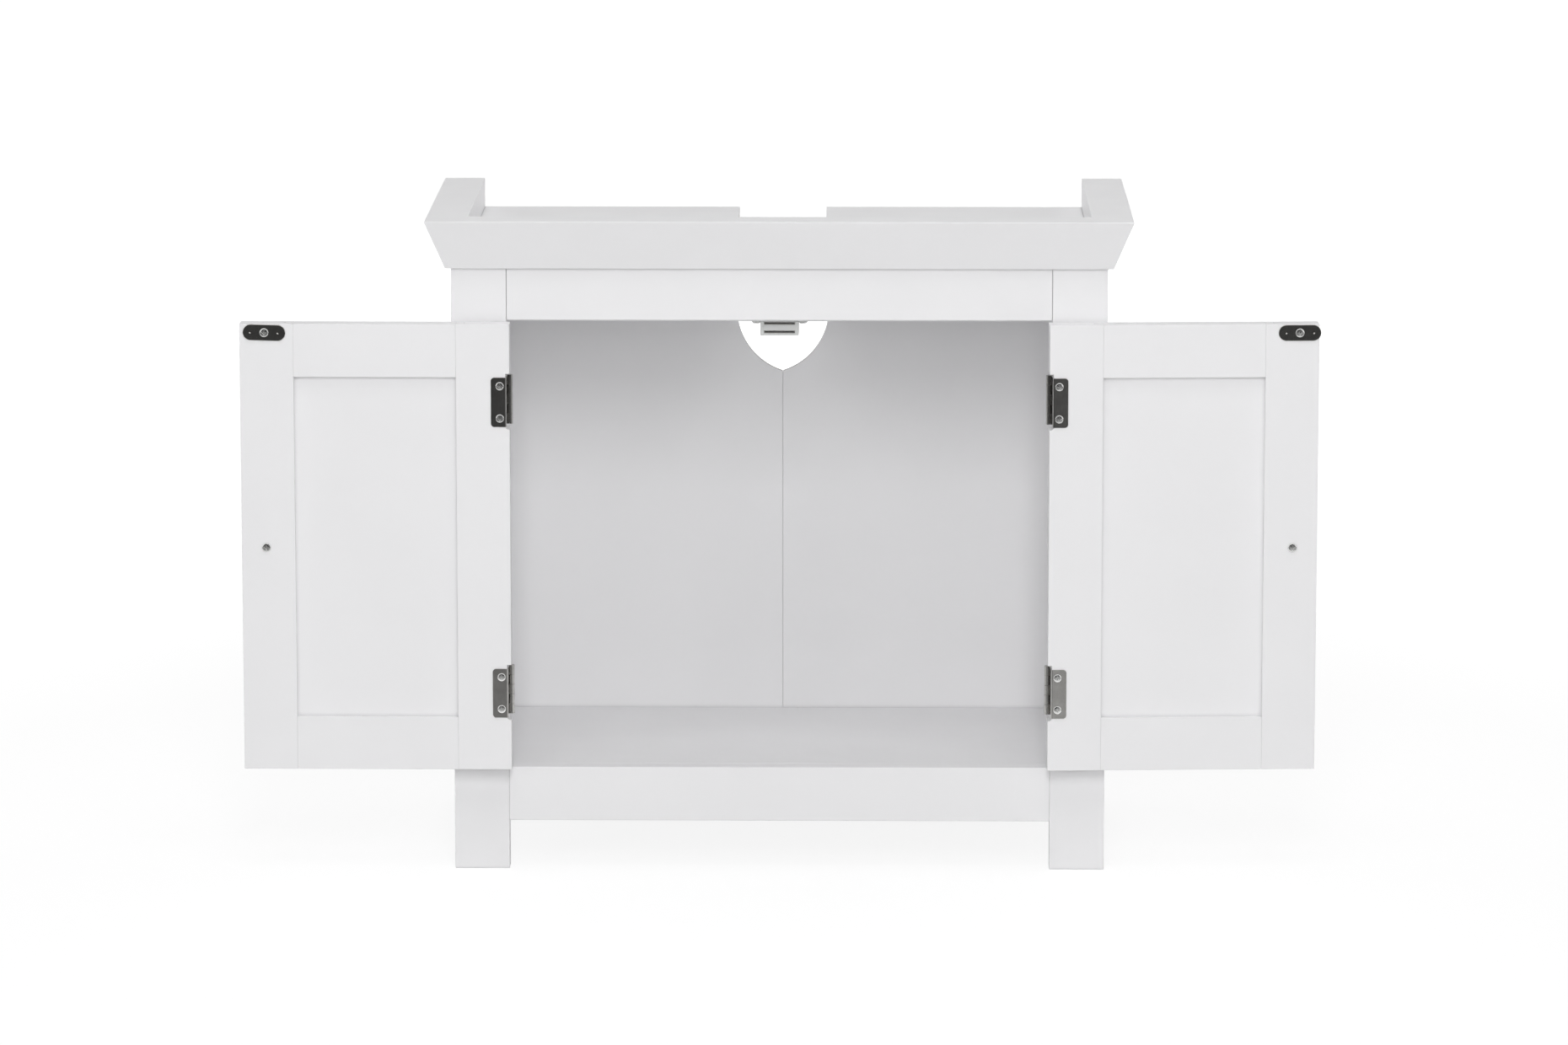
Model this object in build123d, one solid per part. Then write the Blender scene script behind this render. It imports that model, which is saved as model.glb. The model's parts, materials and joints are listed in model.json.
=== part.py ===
"""Free-standing sink base cabinet: framed carcass, U-shaped crown round an open tray,
waste-pipe notch, split back board with a pointed pipe cut-out and two framed doors.

Millimetres, +Z up, front towards -Y. Everything is laid out with x = 0 on the middle of the
cabinet, y = 0 on the front face of the stiles and z = 0 on the floor. The last lines move the
origin back to the middle of the footprint. The doors are drawn shut and swung open to rest.
"""
from build123d import *
import os

os.makedirs("parts", exist_ok=True)

# ---- driving dimensions: carcass -------------------------------------------------------------
HEIGHT = 600.0              # floor to the rim of the crown
BODY_WIDTH = 594.0          # over the stiles
BODY_BACK = 307.0           # back face of the rear legs
POST_WIDTH = 50.0           # stiles and rear legs
POST_THICKNESS = 18.0
ARRIS = 0.8                 # rounding on every board edge

CROWN_HEIGHT = 45.0
CROWN_TOP_OVERHANG = 23.0   # the rim stands this far outside the body
CROWN_FOOT_OVERHANG = 5.0
CROWN_RIM_WIDTH = 38.0
TRAY_THICKNESS = 18.0
NOTCH_WIDTH = 82.0          # waste-pipe notch in the tray
NOTCH_DEPTH = 170.0

OPENING_BOTTOM = 95.0       # door opening between the two front rails
OPENING_TOP = 507.5
BOTTOM_RAIL_HEIGHT = 50.0
JOINT_LINE_WIDTH = 0.4      # open line in front between the top rail and the stiles
JOINT_LINE_DEPTH = 4.5
SIDE_THICKNESS = 15.0
FLOOR_THICKNESS = 15.0

BACK_THICKNESS = 5.0
BACK_GROOVE = 5.0           # how far the back boards sit in their grooves
BACK_GROOVE_PLAY = 0.2
BACK_ARRIS = 0.3
BACK_SEAM = 0.2             # gap between the two back boards
CUTOUT_HALF_WIDTH = 43.4
CUTOUT_STRAIGHT_END = 478.4  # height where the straight edges turn into arcs
CUTOUT_RADIUS = 62.0
BATTEN_WIDTH = 40.0
BATTEN_THICKNESS = 12.0
BATTEN_TOP = 416.0

STRETCHER_BOTTOM = 504.0    # stop rail and catch carrier behind the top rail
STRETCHER_HEIGHT = 18.0
STRETCHER_FRONT = 19.5
STRETCHER_DEPTH = 60.0

# ---- driving dimensions: doors ---------------------------------------------------------------
DOOR_THICKNESS = 18.0
DOOR_ARRIS = 0.5
DOOR_BOTTOM = 97.2
DOOR_TOP = 506.8
HINGE_SIDE_GAP = 1.75
CENTRE_GAP = 3.0
FRAME_WIDTH = 48.5          # door stiles and rails
PANEL_THICKNESS = 6.0
PANEL_ARRIS = 0.3
PANEL_GROOVE_DEPTH = 8.0
PANEL_GROOVE_PLAY = 0.1     # on each face of the panel
PANEL_EDGE_PLAY = 0.5
REST_OPEN = {"left": 180.5, "right": 182.8}   # degrees the doors stand open at rest

# ---- driving dimensions: fittings ------------------------------------------------------------
HINGE_HEIGHT = 45.0
HINGE_END_DISTANCE = 48.5   # door end to the near end of the leaf
HINGE_KNUCKLES = 5
KNUCKLE_RADIUS = 2.75
KNUCKLE_GAP = 0.2
PIN_RADIUS = 1.2
PIN_PLAY = 0.05
AXIS_IN_FRONT = 3.0         # hinge axis to the front face of the stiles
LEAF_THICKNESS = 1.0
LEAF_START = 2.5            # leaf edge behind the axis where the other leaf's knuckle turns
FRAME_LEAF_WIDTH = 16.0
DOOR_LEAF_WRAP = 14.0
LEAF_CORNER = 3.0
LEAF_BEND_RADIUS = 1.2
LEAF_SCREW_SPACING = 29.5
LEAF_SCREW_INSET = 6.0      # from the bend of the door leaf
HINGE_NOTCH_ABOVE = 3.5
HINGE_NOTCH_BELOW = 2.5
NOTCH_CORNER = 2.5

STRIKE_LENGTH = 38.6
STRIKE_HEIGHT = 14.6
STRIKE_THICKNESS = 1.2
STRIKE_BELOW_TOP = 8.0      # plate centre below the door top
STRIKE_EDGE = {"left": 3.2, "right": -1.4}    # plate end to the free edge of its door
STRIKE_TILT = {"left": 1.5, "right": 0.0}     # degrees
STRIKE_DIMPLE_OFFSET = 12.5
STRIKE_DIMPLE = (0.3, 1.1, 1.2)     # radius at the bottom, radius at the top, depth

KNOB_EDGE = 22.3            # knob centre from the free edge
KNOB_RADIUS = 15.0
KNOB_LENGTH = 25.0
KNOB_PROFILE = [            # (radius, height) from the door face out
    (0, 0), (7.5, 0), (7.5, 1.5), (5.6, 3.0), (5.0, 7.0), (5.4, 10.5), (8.5, 13.0), (13.2, 15.2),
    (KNOB_RADIUS, 18.0), (KNOB_RADIUS, 19.5), (14.0, 21.8), (10.5, 23.8), (5.5, 24.8), (0, KNOB_LENGTH)]
KNOB_BORE_RADIUS = 2.05
KNOB_BORE_DEPTH = 10.0

CATCH_HALF_WIDTH = 17.4
CATCH_BOTTOM = 490.7
CATCH_FRONT = 20.0
CATCH_DEPTH = 26.0
CATCH_FLANGE_HALF = 25.8
CATCH_FLANGE_THICKNESS = 2.0
CATCH_FLANGE_DEPTH = 16.0
CATCH_FLANGE_CORNER = 3.0
CATCH_ROUNDING = 1.0
CATCH_FRONT_WALL = 1.5
CATCH_INSIDE_REAR = 3.0     # poles and magnet end this far inside the open rear
CATCH_SCREW_X = 21.3
POLE_HALF_WIDTH = 14.0
POLE_THICKNESS = 2.2
POLE_BOTTOMS = (493.0, 500.8)
POLE_PROUD = 0.4
POLE_PLAY = 0.15
POLE_ARRIS = 0.2

LEAF_SCREW = {"head_radius": 3.8, "shank_radius": 1.6, "length": 14.0}
STRIKE_SCREW = {"head_radius": 4.0, "shank_radius": 1.75, "length": 15.0}
STRIKE_SCREW_PROUD = 0.3
CATCH_SCREW = {"head_radius": 3.4, "shank_radius": 1.6, "length": 14.0, "head_height": 1.8}
KNOB_SCREW = {"head_radius": 4.2, "shank_radius": 2.0, "length": DOOR_THICKNESS + 8.0, "head_height": 2.0}
SCREW_PLAY = 0.05
KNOB_SCREW_PLAY = 0.15

DOWEL_RADIUS = 4.0
DOWEL_HALF_LENGTH = 14.0
DOWEL_PLAY = 0.05
RAIL_DOWEL_INSET = 12.0     # from the upper and lower edges of a rail
SIDE_DOWEL_HEIGHTS = (130.0, 300.0, 470.0)
STRETCHER_DOWEL_DEPTHS = (15.0, 45.0)         # from its front edge
FLOOR_DOWEL_DEPTHS = (110.0, 190.0)
CROWN_DOWEL_DEPTHS = (90.0, 220.0)            # upright, in the side panels
CROWN_DOWEL_PLACES = (-200.0, 0.0, 200.0)     # upright, in the top rail
TRAY_DOWEL_DEPTHS = (60.0, 155.0, 250.0)      # level, between tray and crown arms
TRAY_DOWEL_PLACES = (-100.0, 100.0)           # level, between tray and crown front

CAM_RADIUS = 7.5
CAM_HEIGHT = 12.0
CAM_PLAY = 0.1
CAM_MOUTH_PLAY = 1.0        # round the bolt where it enters the disc
CAM_SLOT = (9.0, 1.6, 3.0)
CAM_FROM_EDGE = 34.0
CAM_DEPTHS = (60.0, 240.0)
CAM_BOLT_RADIUS = 3.0
CAM_BOLT_IN_SIDE = 11.0

# ---- worked-out places -----------------------------------------------------------------------
BODY_HALF = BODY_WIDTH / 2
POST_INNER = BODY_HALF - POST_WIDTH
SIDE_INNER = BODY_HALF - SIDE_THICKNESS
CARCASS_TOP = HEIGHT - CROWN_HEIGHT
REAR_LEG_FRONT = BODY_BACK - POST_THICKNESS
BACK_FRONT = REAR_LEG_FRONT - BACK_THICKNESS
FLOOR_BOTTOM = OPENING_BOTTOM - FLOOR_THICKNESS
CROWN_RIM_HALF = BODY_HALF + CROWN_TOP_OVERHANG
TRAY_HALF = CROWN_RIM_HALF - CROWN_RIM_WIDTH
TRAY_FRONT = CROWN_RIM_WIDTH - CROWN_TOP_OVERHANG
TRAY_TOP = CARCASS_TOP + TRAY_THICKNESS

AXIS_X = POST_INNER - KNUCKLE_RADIUS
DOOR_HINGE_EDGE = POST_INNER - HINGE_SIDE_GAP
DOOR_FREE_EDGE = CENTRE_GAP / 2
DOOR_MIDDLE = (DOOR_BOTTOM + DOOR_TOP) / 2
DOOR_LEAF_FACE = AXIS_X - KNUCKLE_RADIUS      # bottom of the hinge notch in the door edge
HINGE_CENTRES = {
    "upper": DOOR_TOP - HINGE_END_DISTANCE - HINGE_HEIGHT / 2,
    "lower": DOOR_BOTTOM + HINGE_END_DISTANCE + HINGE_HEIGHT / 2,
}
SIDES = {"left": -1, "right": 1}
PAST = 1.0                  # how far cutting tools run past the faces that they cut

nodes = {}


# ---- helpers ---------------------------------------------------------------------------------
def block(x, y, z, arris=0.0):
    """A box between three (low, high) pairs, with its edges rounded by arris."""
    solid = Pos(*[(low + high) / 2 for low, high in (x, y, z)]) * Box(
        *[high - low for low, high in (x, y, z)])
    return fillet(solid.edges(), arris) if arris else solid


def rod(start, direction, radius, length):
    """A cylinder that starts at a point and runs along a direction."""
    plane = Plane(origin=start, z_dir=direction)
    return plane * Pos(0, 0, length / 2) * Cylinder(radius, length)


def turned(profile, start, direction):
    """Revolve (radius, height) points round an axis through start."""
    face = Plane.XZ * make_face(Polyline(*profile, close=True))
    return Plane(origin=start, z_dir=direction) * revolve(face, Axis.Z)


def for_side(solid, side):
    """Drawn for the right-hand half; mirrored for the left."""
    return solid if side == "right" else mirror(solid, about=Plane.YZ)


def swung(solid, side):
    """A shut right-hand door piece, swung open to rest and put on its side."""
    axis = Axis((AXIS_X, -AXIS_IN_FRONT, 0), (0, 0, 1))
    return for_side(solid.rotate(axis, REST_OPEN[side]), side)


def within(tool, board):
    """Whether the bounding boxes of a cutting tool and a board meet."""
    a, b = tool.bounding_box(), board.bounding_box()
    return all(lo_a < hi_b and lo_b < hi_a for lo_a, hi_a, lo_b, hi_b in zip(
        tuple(a.min), tuple(a.max), tuple(b.min), tuple(b.max)))


def drilled(board, tools):
    """The board without the tools that reach it."""
    for tool in tools:
        if within(tool, board):
            board = board - tool
    return board


# ---- fasteners -------------------------------------------------------------------------------
def wood_screw(start, direction, head_radius, shank_radius, length, play=0.0):
    """Countersunk screw with its head flush at start; with play, the hole that it needs."""
    rim, point = 0.3, 3.0
    taper_end = rim + head_radius - shank_radius
    head, shank = head_radius + play, shank_radius + play
    screw = turned([(0, 0), (head, 0), (head, rim), (shank, taper_end), (shank, length - point),
                    (0, length)], start, direction)
    return screw if play else screw - cross_recess(start, direction, head_radius)


def pan_screw(start, direction, head_radius, shank_radius, length, head_height, play=0.0):
    """Round-headed screw with its head in front of start; with play, the hole that it needs."""
    shank = rod(start, direction, shank_radius + play, length)
    if play:
        return shank
    dome = [(0, -1), (0.62, -1), (0.9, -0.7), (1, -0.25), (1, 0), (0, 0)]
    head = turned([(r * head_radius, h * head_height) for r, h in dome], start, direction)
    top = tuple(s - head_height * d for s, d in zip(start, direction))
    return shank + head - cross_recess(top, direction, head_radius)


def cross_recess(start, direction, head_radius):
    """The cross that a screwdriver turns, sunk into a head at start."""
    arm, slot, depth = head_radius * 1.1, head_radius * 0.27, 1.3
    plane = Plane(origin=start, z_dir=direction)
    return plane * (Box(arm, slot, 2 * depth) + Box(slot, arm, 2 * depth))


def dowel(point, axis, play=0.0):
    """A dowel centred on the joint at point."""
    start = tuple(p - DOWEL_HALF_LENGTH * a for p, a in zip(point, axis))
    return rod(start, axis, DOWEL_RADIUS + play, 2 * DOWEL_HALF_LENGTH)


def dowel_sites():
    """Point and axis of every dowel, by the group that shares a node."""
    rails, panels, crown = [], [], []
    across, along, upright = (1, 0, 0), (0, 1, 0), (0, 0, 1)
    front, rear = POST_THICKNESS / 2, BODY_BACK - POST_THICKNESS / 2
    low_rail = (OPENING_BOTTOM - BOTTOM_RAIL_HEIGHT + RAIL_DOWEL_INSET, OPENING_BOTTOM - RAIL_DOWEL_INSET)
    top_rail = (OPENING_TOP + RAIL_DOWEL_INSET, CARCASS_TOP - RAIL_DOWEL_INSET)
    side_middle = BODY_HALF - SIDE_THICKNESS / 2
    stretcher_height = STRETCHER_BOTTOM + STRETCHER_HEIGHT / 2
    floor_height = FLOOR_BOTTOM + FLOOR_THICKNESS / 2
    tray_height = CARCASS_TOP + TRAY_THICKNESS / 2
    crown_middle = (TRAY_FRONT - CROWN_FOOT_OVERHANG) / 2     # front to back, over the top rail
    for sign in SIDES.values():
        for y, heights in ((front, top_rail), (front, low_rail), (rear, low_rail)):
            rails += [((sign * POST_INNER, y, z), across) for z in heights]
        for y in (POST_THICKNESS, REAR_LEG_FRONT):
            panels += [((sign * side_middle, y, z), along) for z in SIDE_DOWEL_HEIGHTS]
        panels += [((sign * SIDE_INNER, STRETCHER_FRONT + y, stretcher_height), across)
                   for y in STRETCHER_DOWEL_DEPTHS]
        panels += [((sign * SIDE_INNER, y, floor_height), across) for y in FLOOR_DOWEL_DEPTHS]
        crown += [((sign * side_middle, y, CARCASS_TOP), upright) for y in CROWN_DOWEL_DEPTHS]
        crown += [((sign * TRAY_HALF, y, tray_height), across) for y in TRAY_DOWEL_DEPTHS]
    crown += [((x, crown_middle, CARCASS_TOP), upright) for x in CROWN_DOWEL_PLACES]
    crown += [((x, TRAY_FRONT, tray_height), along) for x in TRAY_DOWEL_PLACES]
    return {"rail_dowels": rails, "panel_dowels": panels, "crown_dowels": crown}


def cam_fittings():
    """Cam discs under the floor panel and the bolts that they draw in, with their pockets."""
    discs, bolts, pockets = [], [], []
    height = FLOOR_BOTTOM + FLOOR_THICKNESS / 2
    reach = CAM_BOLT_IN_SIDE + CAM_FROM_EDGE
    length, width, depth = CAM_SLOT
    cross = Box(length, width, depth) + Box(width, length, depth)
    for sign in SIDES.values():
        for y in CAM_DEPTHS:
            centre = (sign * (SIDE_INNER - CAM_FROM_EDGE), y, FLOOR_BOTTOM)
            start = (sign * (SIDE_INNER + CAM_BOLT_IN_SIDE), y, height)
            inwards = (-sign, 0, 0)
            mouth = rod(start, inwards, CAM_BOLT_RADIUS + CAM_MOUTH_PLAY, reach + CAM_BOLT_RADIUS)
            disc = rod(centre, (0, 0, 1), CAM_RADIUS - CAM_PLAY, CAM_HEIGHT)
            discs.append(disc - mouth - Pos(*centre) * cross)
            bolts.append(rod(start, inwards, CAM_BOLT_RADIUS, reach))
            pockets += [rod(centre, (0, 0, 1), CAM_RADIUS, CAM_HEIGHT),
                        rod(start, inwards, CAM_BOLT_RADIUS + DOWEL_PLAY, reach)]
    return discs, bolts, pockets


# ---- carcass ---------------------------------------------------------------------------------
def crown_board(side):
    """One length of the crown: upright inside, leaning out in front, mitred at the front corners."""
    foot_width = CROWN_RIM_WIDTH - CROWN_TOP_OVERHANG + CROWN_FOOT_OVERHANG
    section = [(0, CARCASS_TOP), (0, HEIGHT), (CROWN_RIM_WIDTH, HEIGHT), (foot_width, CARCASS_TOP)]
    reach = 2 * CROWN_RIM_HALF
    if side == "front":
        face = Plane(origin=(CROWN_RIM_HALF, TRAY_FRONT, 0), x_dir=(0, -1, 0), z_dir=(-1, 0, 0))
    else:
        face = Plane(origin=(TRAY_HALF, BODY_BACK, 0), x_dir=(1, 0, 0), z_dir=(0, -1, 0))
    board = extrude(face * make_face(Polyline(*section, close=True)), reach)
    board = fillet(board.edges().filter_by(Axis.X if side == "front" else Axis.Y), ARRIS)
    # the far side of the mitre, which is the arm's own ground
    beside = [(TRAY_HALF, TRAY_FRONT), (TRAY_HALF + reach, TRAY_FRONT - reach),
              (TRAY_HALF + reach, BODY_BACK + PAST), (TRAY_HALF, BODY_BACK + PAST)]
    ground = Pos(0, 0, CARCASS_TOP - PAST) * extrude(
        make_face(Polyline(*beside, close=True)), CROWN_HEIGHT + 2 * PAST)
    if side == "front":
        return board - ground - mirror(ground, about=Plane.YZ)
    return for_side(board & ground, side)


def tray_panel():
    """Top panel inside the crown, with a round-ended notch for the waste pipe."""
    panel = block((-TRAY_HALF, TRAY_HALF), (TRAY_FRONT, BODY_BACK), (CARCASS_TOP, TRAY_TOP), ARRIS)
    half = NOTCH_WIDTH / 2
    notch_front = BODY_BACK - NOTCH_DEPTH + half
    middle = (CARCASS_TOP + TRAY_TOP) / 2
    notch = block((-half, half), (notch_front, BODY_BACK + PAST), (CARCASS_TOP - PAST, TRAY_TOP + PAST))
    notch += Pos(0, notch_front, middle) * Cylinder(half, TRAY_THICKNESS + 2 * PAST)
    back_groove = block((-SIDE_INNER, SIDE_INNER), (BACK_FRONT, REAR_LEG_FRONT),
                        (CARCASS_TOP - PAST, CARCASS_TOP + BACK_GROOVE))
    return panel - notch - back_groove


def side_panel(side):
    """Side board between stile and rear leg, rebated at the back for the back board."""
    panel = block((SIDE_INNER, BODY_HALF), (POST_THICKNESS, REAR_LEG_FRONT),
                  (OPENING_BOTTOM - BOTTOM_RAIL_HEIGHT, CARCASS_TOP), ARRIS)
    rebate = block((SIDE_INNER - PAST, SIDE_INNER + BACK_GROOVE), (BACK_FRONT, REAR_LEG_FRONT + PAST),
                   (FLOOR_BOTTOM, CARCASS_TOP + PAST))
    return for_side(panel - rebate, side)


def back_board(side):
    """Half of the back, from the seam in the middle to the rebate, with half of the pipe cut-out."""
    depth = (BACK_FRONT, REAR_LEG_FRONT)
    board = block((BACK_SEAM / 2, SIDE_INNER + BACK_GROOVE), depth, (FLOOR_BOTTOM, CARCASS_TOP), BACK_ARRIS)
    board += block((CUTOUT_HALF_WIDTH, SIDE_INNER), depth,
                   (CARCASS_TOP - PAST, CARCASS_TOP + BACK_GROOVE - BACK_GROOVE_PLAY))
    through = (BACK_FRONT - PAST, REAR_LEG_FRONT + PAST)
    straight = block((-PAST, CUTOUT_HALF_WIDTH), through,
                     (CUTOUT_STRAIGHT_END, CARCASS_TOP + BACK_GROOVE + PAST))
    arc = rod((CUTOUT_HALF_WIDTH - CUTOUT_RADIUS, through[0], CUTOUT_STRAIGHT_END), (0, 1, 0),
              CUTOUT_RADIUS, BACK_THICKNESS + 2 * PAST)
    below = block((-PAST, CUTOUT_HALF_WIDTH), through,
                  (CUTOUT_STRAIGHT_END - CUTOUT_RADIUS, CUTOUT_STRAIGHT_END))
    return for_side(board - straight - (arc & below), side)


def front_top_rail():
    """Rail over the doors; its ends stand a little clear of the stiles at the front."""
    rail = block((-POST_INNER, POST_INNER), (0, POST_THICKNESS), (OPENING_TOP, CARCASS_TOP), ARRIS)
    line = block((POST_INNER - JOINT_LINE_WIDTH, POST_INNER + PAST), (-PAST, JOINT_LINE_DEPTH),
                 (OPENING_TOP - PAST, CARCASS_TOP + PAST))
    return rail - line - mirror(line, about=Plane.YZ)


def carcass_boards():
    """Every board of the carcass by node name, before it is drilled."""
    boards = {}
    for side in SIDES:
        outer = (POST_INNER, BODY_HALF)
        boards[f"front_stile_{side}"] = for_side(
            block(outer, (0, POST_THICKNESS), (0, CARCASS_TOP), ARRIS), side)
        boards[f"rear_leg_{side}"] = for_side(
            block(outer, (REAR_LEG_FRONT, BODY_BACK), (0, CARCASS_TOP), ARRIS), side)
        boards[f"side_panel_{side}"] = side_panel(side)
        boards[f"back_board_{side}"] = back_board(side)
        boards[f"crown_{side}"] = crown_board(side)
    between = (-POST_INNER, POST_INNER)
    low_rail = (OPENING_BOTTOM - BOTTOM_RAIL_HEIGHT, OPENING_BOTTOM)
    boards["front_top_rail"] = front_top_rail()
    boards["front_bottom_rail"] = block(between, (0, POST_THICKNESS), low_rail, ARRIS)
    boards["rear_bottom_rail"] = block(between, (REAR_LEG_FRONT, BODY_BACK), low_rail, ARRIS)
    boards["floor_panel"] = block((-SIDE_INNER, SIDE_INNER), (POST_THICKNESS, BACK_FRONT),
                                  (FLOOR_BOTTOM, OPENING_BOTTOM), ARRIS)
    boards["catch_stretcher"] = block(
        (-SIDE_INNER, SIDE_INNER), (STRETCHER_FRONT, STRETCHER_FRONT + STRETCHER_DEPTH),
        (STRETCHER_BOTTOM, STRETCHER_BOTTOM + STRETCHER_HEIGHT), ARRIS)
    boards["back_seam_batten"] = block(
        (-BATTEN_WIDTH / 2, BATTEN_WIDTH / 2), (REAR_LEG_FRONT, REAR_LEG_FRONT + BATTEN_THICKNESS),
        (OPENING_BOTTOM, BATTEN_TOP), ARRIS)
    boards["tray_panel"] = tray_panel()
    boards["crown_front"] = crown_board("front")
    return boards


# ---- magnetic catch --------------------------------------------------------------------------
def magnetic_catch():
    """Housing, pole plates, magnet and screws of the double catch under the stretcher."""
    housing = block((-CATCH_HALF_WIDTH, CATCH_HALF_WIDTH), (CATCH_FRONT, CATCH_FRONT + CATCH_DEPTH),
                    (CATCH_BOTTOM, STRETCHER_BOTTOM), CATCH_ROUNDING)
    flange_front = CATCH_FRONT + (CATCH_DEPTH - CATCH_FLANGE_DEPTH) / 2
    under_flange = STRETCHER_BOTTOM - CATCH_FLANGE_THICKNESS
    flange = block((-CATCH_FLANGE_HALF, CATCH_FLANGE_HALF),
                   (flange_front, flange_front + CATCH_FLANGE_DEPTH), (under_flange, STRETCHER_BOTTOM))
    flange = fillet(flange.edges().filter_by(Axis.Z), CATCH_FLANGE_CORNER)
    behind_wall, rear = CATCH_FRONT + CATCH_FRONT_WALL, CATCH_FRONT + CATCH_DEPTH
    low_pole, high_pole = [(bottom, bottom + POLE_THICKNESS) for bottom in POLE_BOTTOMS]
    pole_width = (-POLE_HALF_WIDTH, POLE_HALF_WIDTH)
    poles = [block(pole_width, (CATCH_FRONT - POLE_PROUD, rear - CATCH_INSIDE_REAR), height, POLE_ARRIS)
             for height in (low_pole, high_pole)]
    magnet = block(pole_width, (behind_wall, rear - CATCH_INSIDE_REAR), (low_pole[1], high_pole[0]))
    pocket_width = (-POLE_HALF_WIDTH - POLE_PLAY, POLE_HALF_WIDTH + POLE_PLAY)
    pocket = block(pocket_width, (behind_wall, rear + PAST),
                   (low_pole[0] - POLE_PLAY, high_pole[1] + POLE_PLAY))
    for low, high in (low_pole, high_pole):
        pocket += block(pocket_width, (CATCH_FRONT - PAST, rear), (low - POLE_PLAY, high + POLE_PLAY))
    sites = [(sign * CATCH_SCREW_X, CATCH_FRONT + CATCH_DEPTH / 2, under_flange) for sign in SIDES.values()]
    screws = [pan_screw(site, (0, 0, 1), **CATCH_SCREW) for site in sites]
    holes = [pan_screw(site, (0, 0, 1), **CATCH_SCREW, play=SCREW_PLAY) for site in sites]
    return drilled(housing + flange - pocket, holes), poles, magnet, screws, holes


# ---- hinges ----------------------------------------------------------------------------------
def knuckles(centre, own):
    """The barrel lengths that belong to one leaf; own says which of the five they are."""
    length = HINGE_HEIGHT / HINGE_KNUCKLES
    bottom = centre - HINGE_HEIGHT / 2
    return [(bottom + i * length + KNUCKLE_GAP / 2, bottom + (i + 1) * length - KNUCKLE_GAP / 2)
            for i in range(HINGE_KNUCKLES) if i % 2 == own]


def rolled_leaf(plate_x, centre, own):
    """Barrel lengths with their tongues, which join them to a leaf whose metal spans plate_x."""
    metal = None
    for low, high in knuckles(centre, own):
        barrel = rod((AXIS_X, -AXIS_IN_FRONT, low), (0, 0, 1), KNUCKLE_RADIUS, high - low)
        tongue = block(plate_x, (-AXIS_IN_FRONT, LEAF_START - AXIS_IN_FRONT + LEAF_THICKNESS), (low, high))
        metal = barrel + tongue if metal is None else metal + barrel + tongue
    return metal


def leaf_screw_sites(centre):
    """Heights of the two screws in one leaf."""
    return [centre - LEAF_SCREW_SPACING / 2, centre + LEAF_SCREW_SPACING / 2]


def bored_for_pin(leaf, centre):
    """A leaf with the hole for the pin down its barrel."""
    return leaf - rod((AXIS_X, -AXIS_IN_FRONT, centre - HINGE_HEIGHT), (0, 0, 1),
                      PIN_RADIUS + PIN_PLAY, 2 * HINGE_HEIGHT)


def frame_leaf(centre):
    """Leaf on the inner edge of the right-hand stile, with its screws and their holes."""
    height = (centre - HINGE_HEIGHT / 2, centre + HINGE_HEIGHT / 2)
    face = POST_INNER - LEAF_THICKNESS
    plate_x = (face, POST_INNER)
    plate = block(plate_x, (LEAF_START - AXIS_IN_FRONT, FRAME_LEAF_WIDTH), height)
    plate = fillet(plate.edges().filter_by(Axis.X).group_by(Axis.Y)[-1], LEAF_CORNER)
    leaf = bored_for_pin(plate + rolled_leaf(plate_x, centre, 0), centre)
    sites = [(face, POST_THICKNESS / 2, z) for z in leaf_screw_sites(centre)]
    screws = [wood_screw(site, (1, 0, 0), **LEAF_SCREW) for site in sites]
    holes = [wood_screw(site, (1, 0, 0), **LEAF_SCREW, play=SCREW_PLAY) for site in sites]
    return drilled(leaf, holes), screws, holes


def door_leaf(centre):
    """Leaf that lines the notch in the door edge and wraps on to the inner face of the door."""
    height = (centre - HINGE_HEIGHT / 2, centre + HINGE_HEIGHT / 2)
    outer = DOOR_LEAF_FACE + LEAF_THICKNESS
    plate_x = (DOOR_LEAF_FACE, outer)
    web = block(plate_x, (LEAF_START - AXIS_IN_FRONT, DOOR_THICKNESS + LEAF_THICKNESS), height)
    wrap = block((outer - DOOR_LEAF_WRAP, outer), (DOOR_THICKNESS, DOOR_THICKNESS + LEAF_THICKNESS),
                 height)
    wrap = fillet(wrap.edges().filter_by(Axis.Y).group_by(Axis.X)[0], LEAF_CORNER)
    leaf = web + wrap
    bend = leaf.edges().filter_by(Axis.Z).group_by(Axis.Y)[-1].sort_by(Axis.X)[-1]
    leaf = bored_for_pin(fillet(bend, LEAF_BEND_RADIUS) + rolled_leaf(plate_x, centre, 1), centre)
    sites = [(outer - LEAF_SCREW_INSET, DOOR_THICKNESS + LEAF_THICKNESS, z)
             for z in leaf_screw_sites(centre)]
    screws = [wood_screw(site, (0, -1, 0), **LEAF_SCREW) for site in sites]
    holes = [wood_screw(site, (0, -1, 0), **LEAF_SCREW, play=SCREW_PLAY) for site in sites]
    return drilled(leaf, holes), screws, holes


def hinge_pin(centre):
    """Pin of one hinge, as long as its barrel."""
    return rod((AXIS_X, -AXIS_IN_FRONT, centre - HINGE_HEIGHT / 2), (0, 0, 1), PIN_RADIUS, HINGE_HEIGHT)


# ---- doors -----------------------------------------------------------------------------------
def groove(x, z):
    """The slot for the door panel, over the given spans."""
    half = PANEL_THICKNESS / 2 + PANEL_GROOVE_PLAY
    return block(x, (DOOR_THICKNESS / 2 - half, DOOR_THICKNESS / 2 + half), z)


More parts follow.
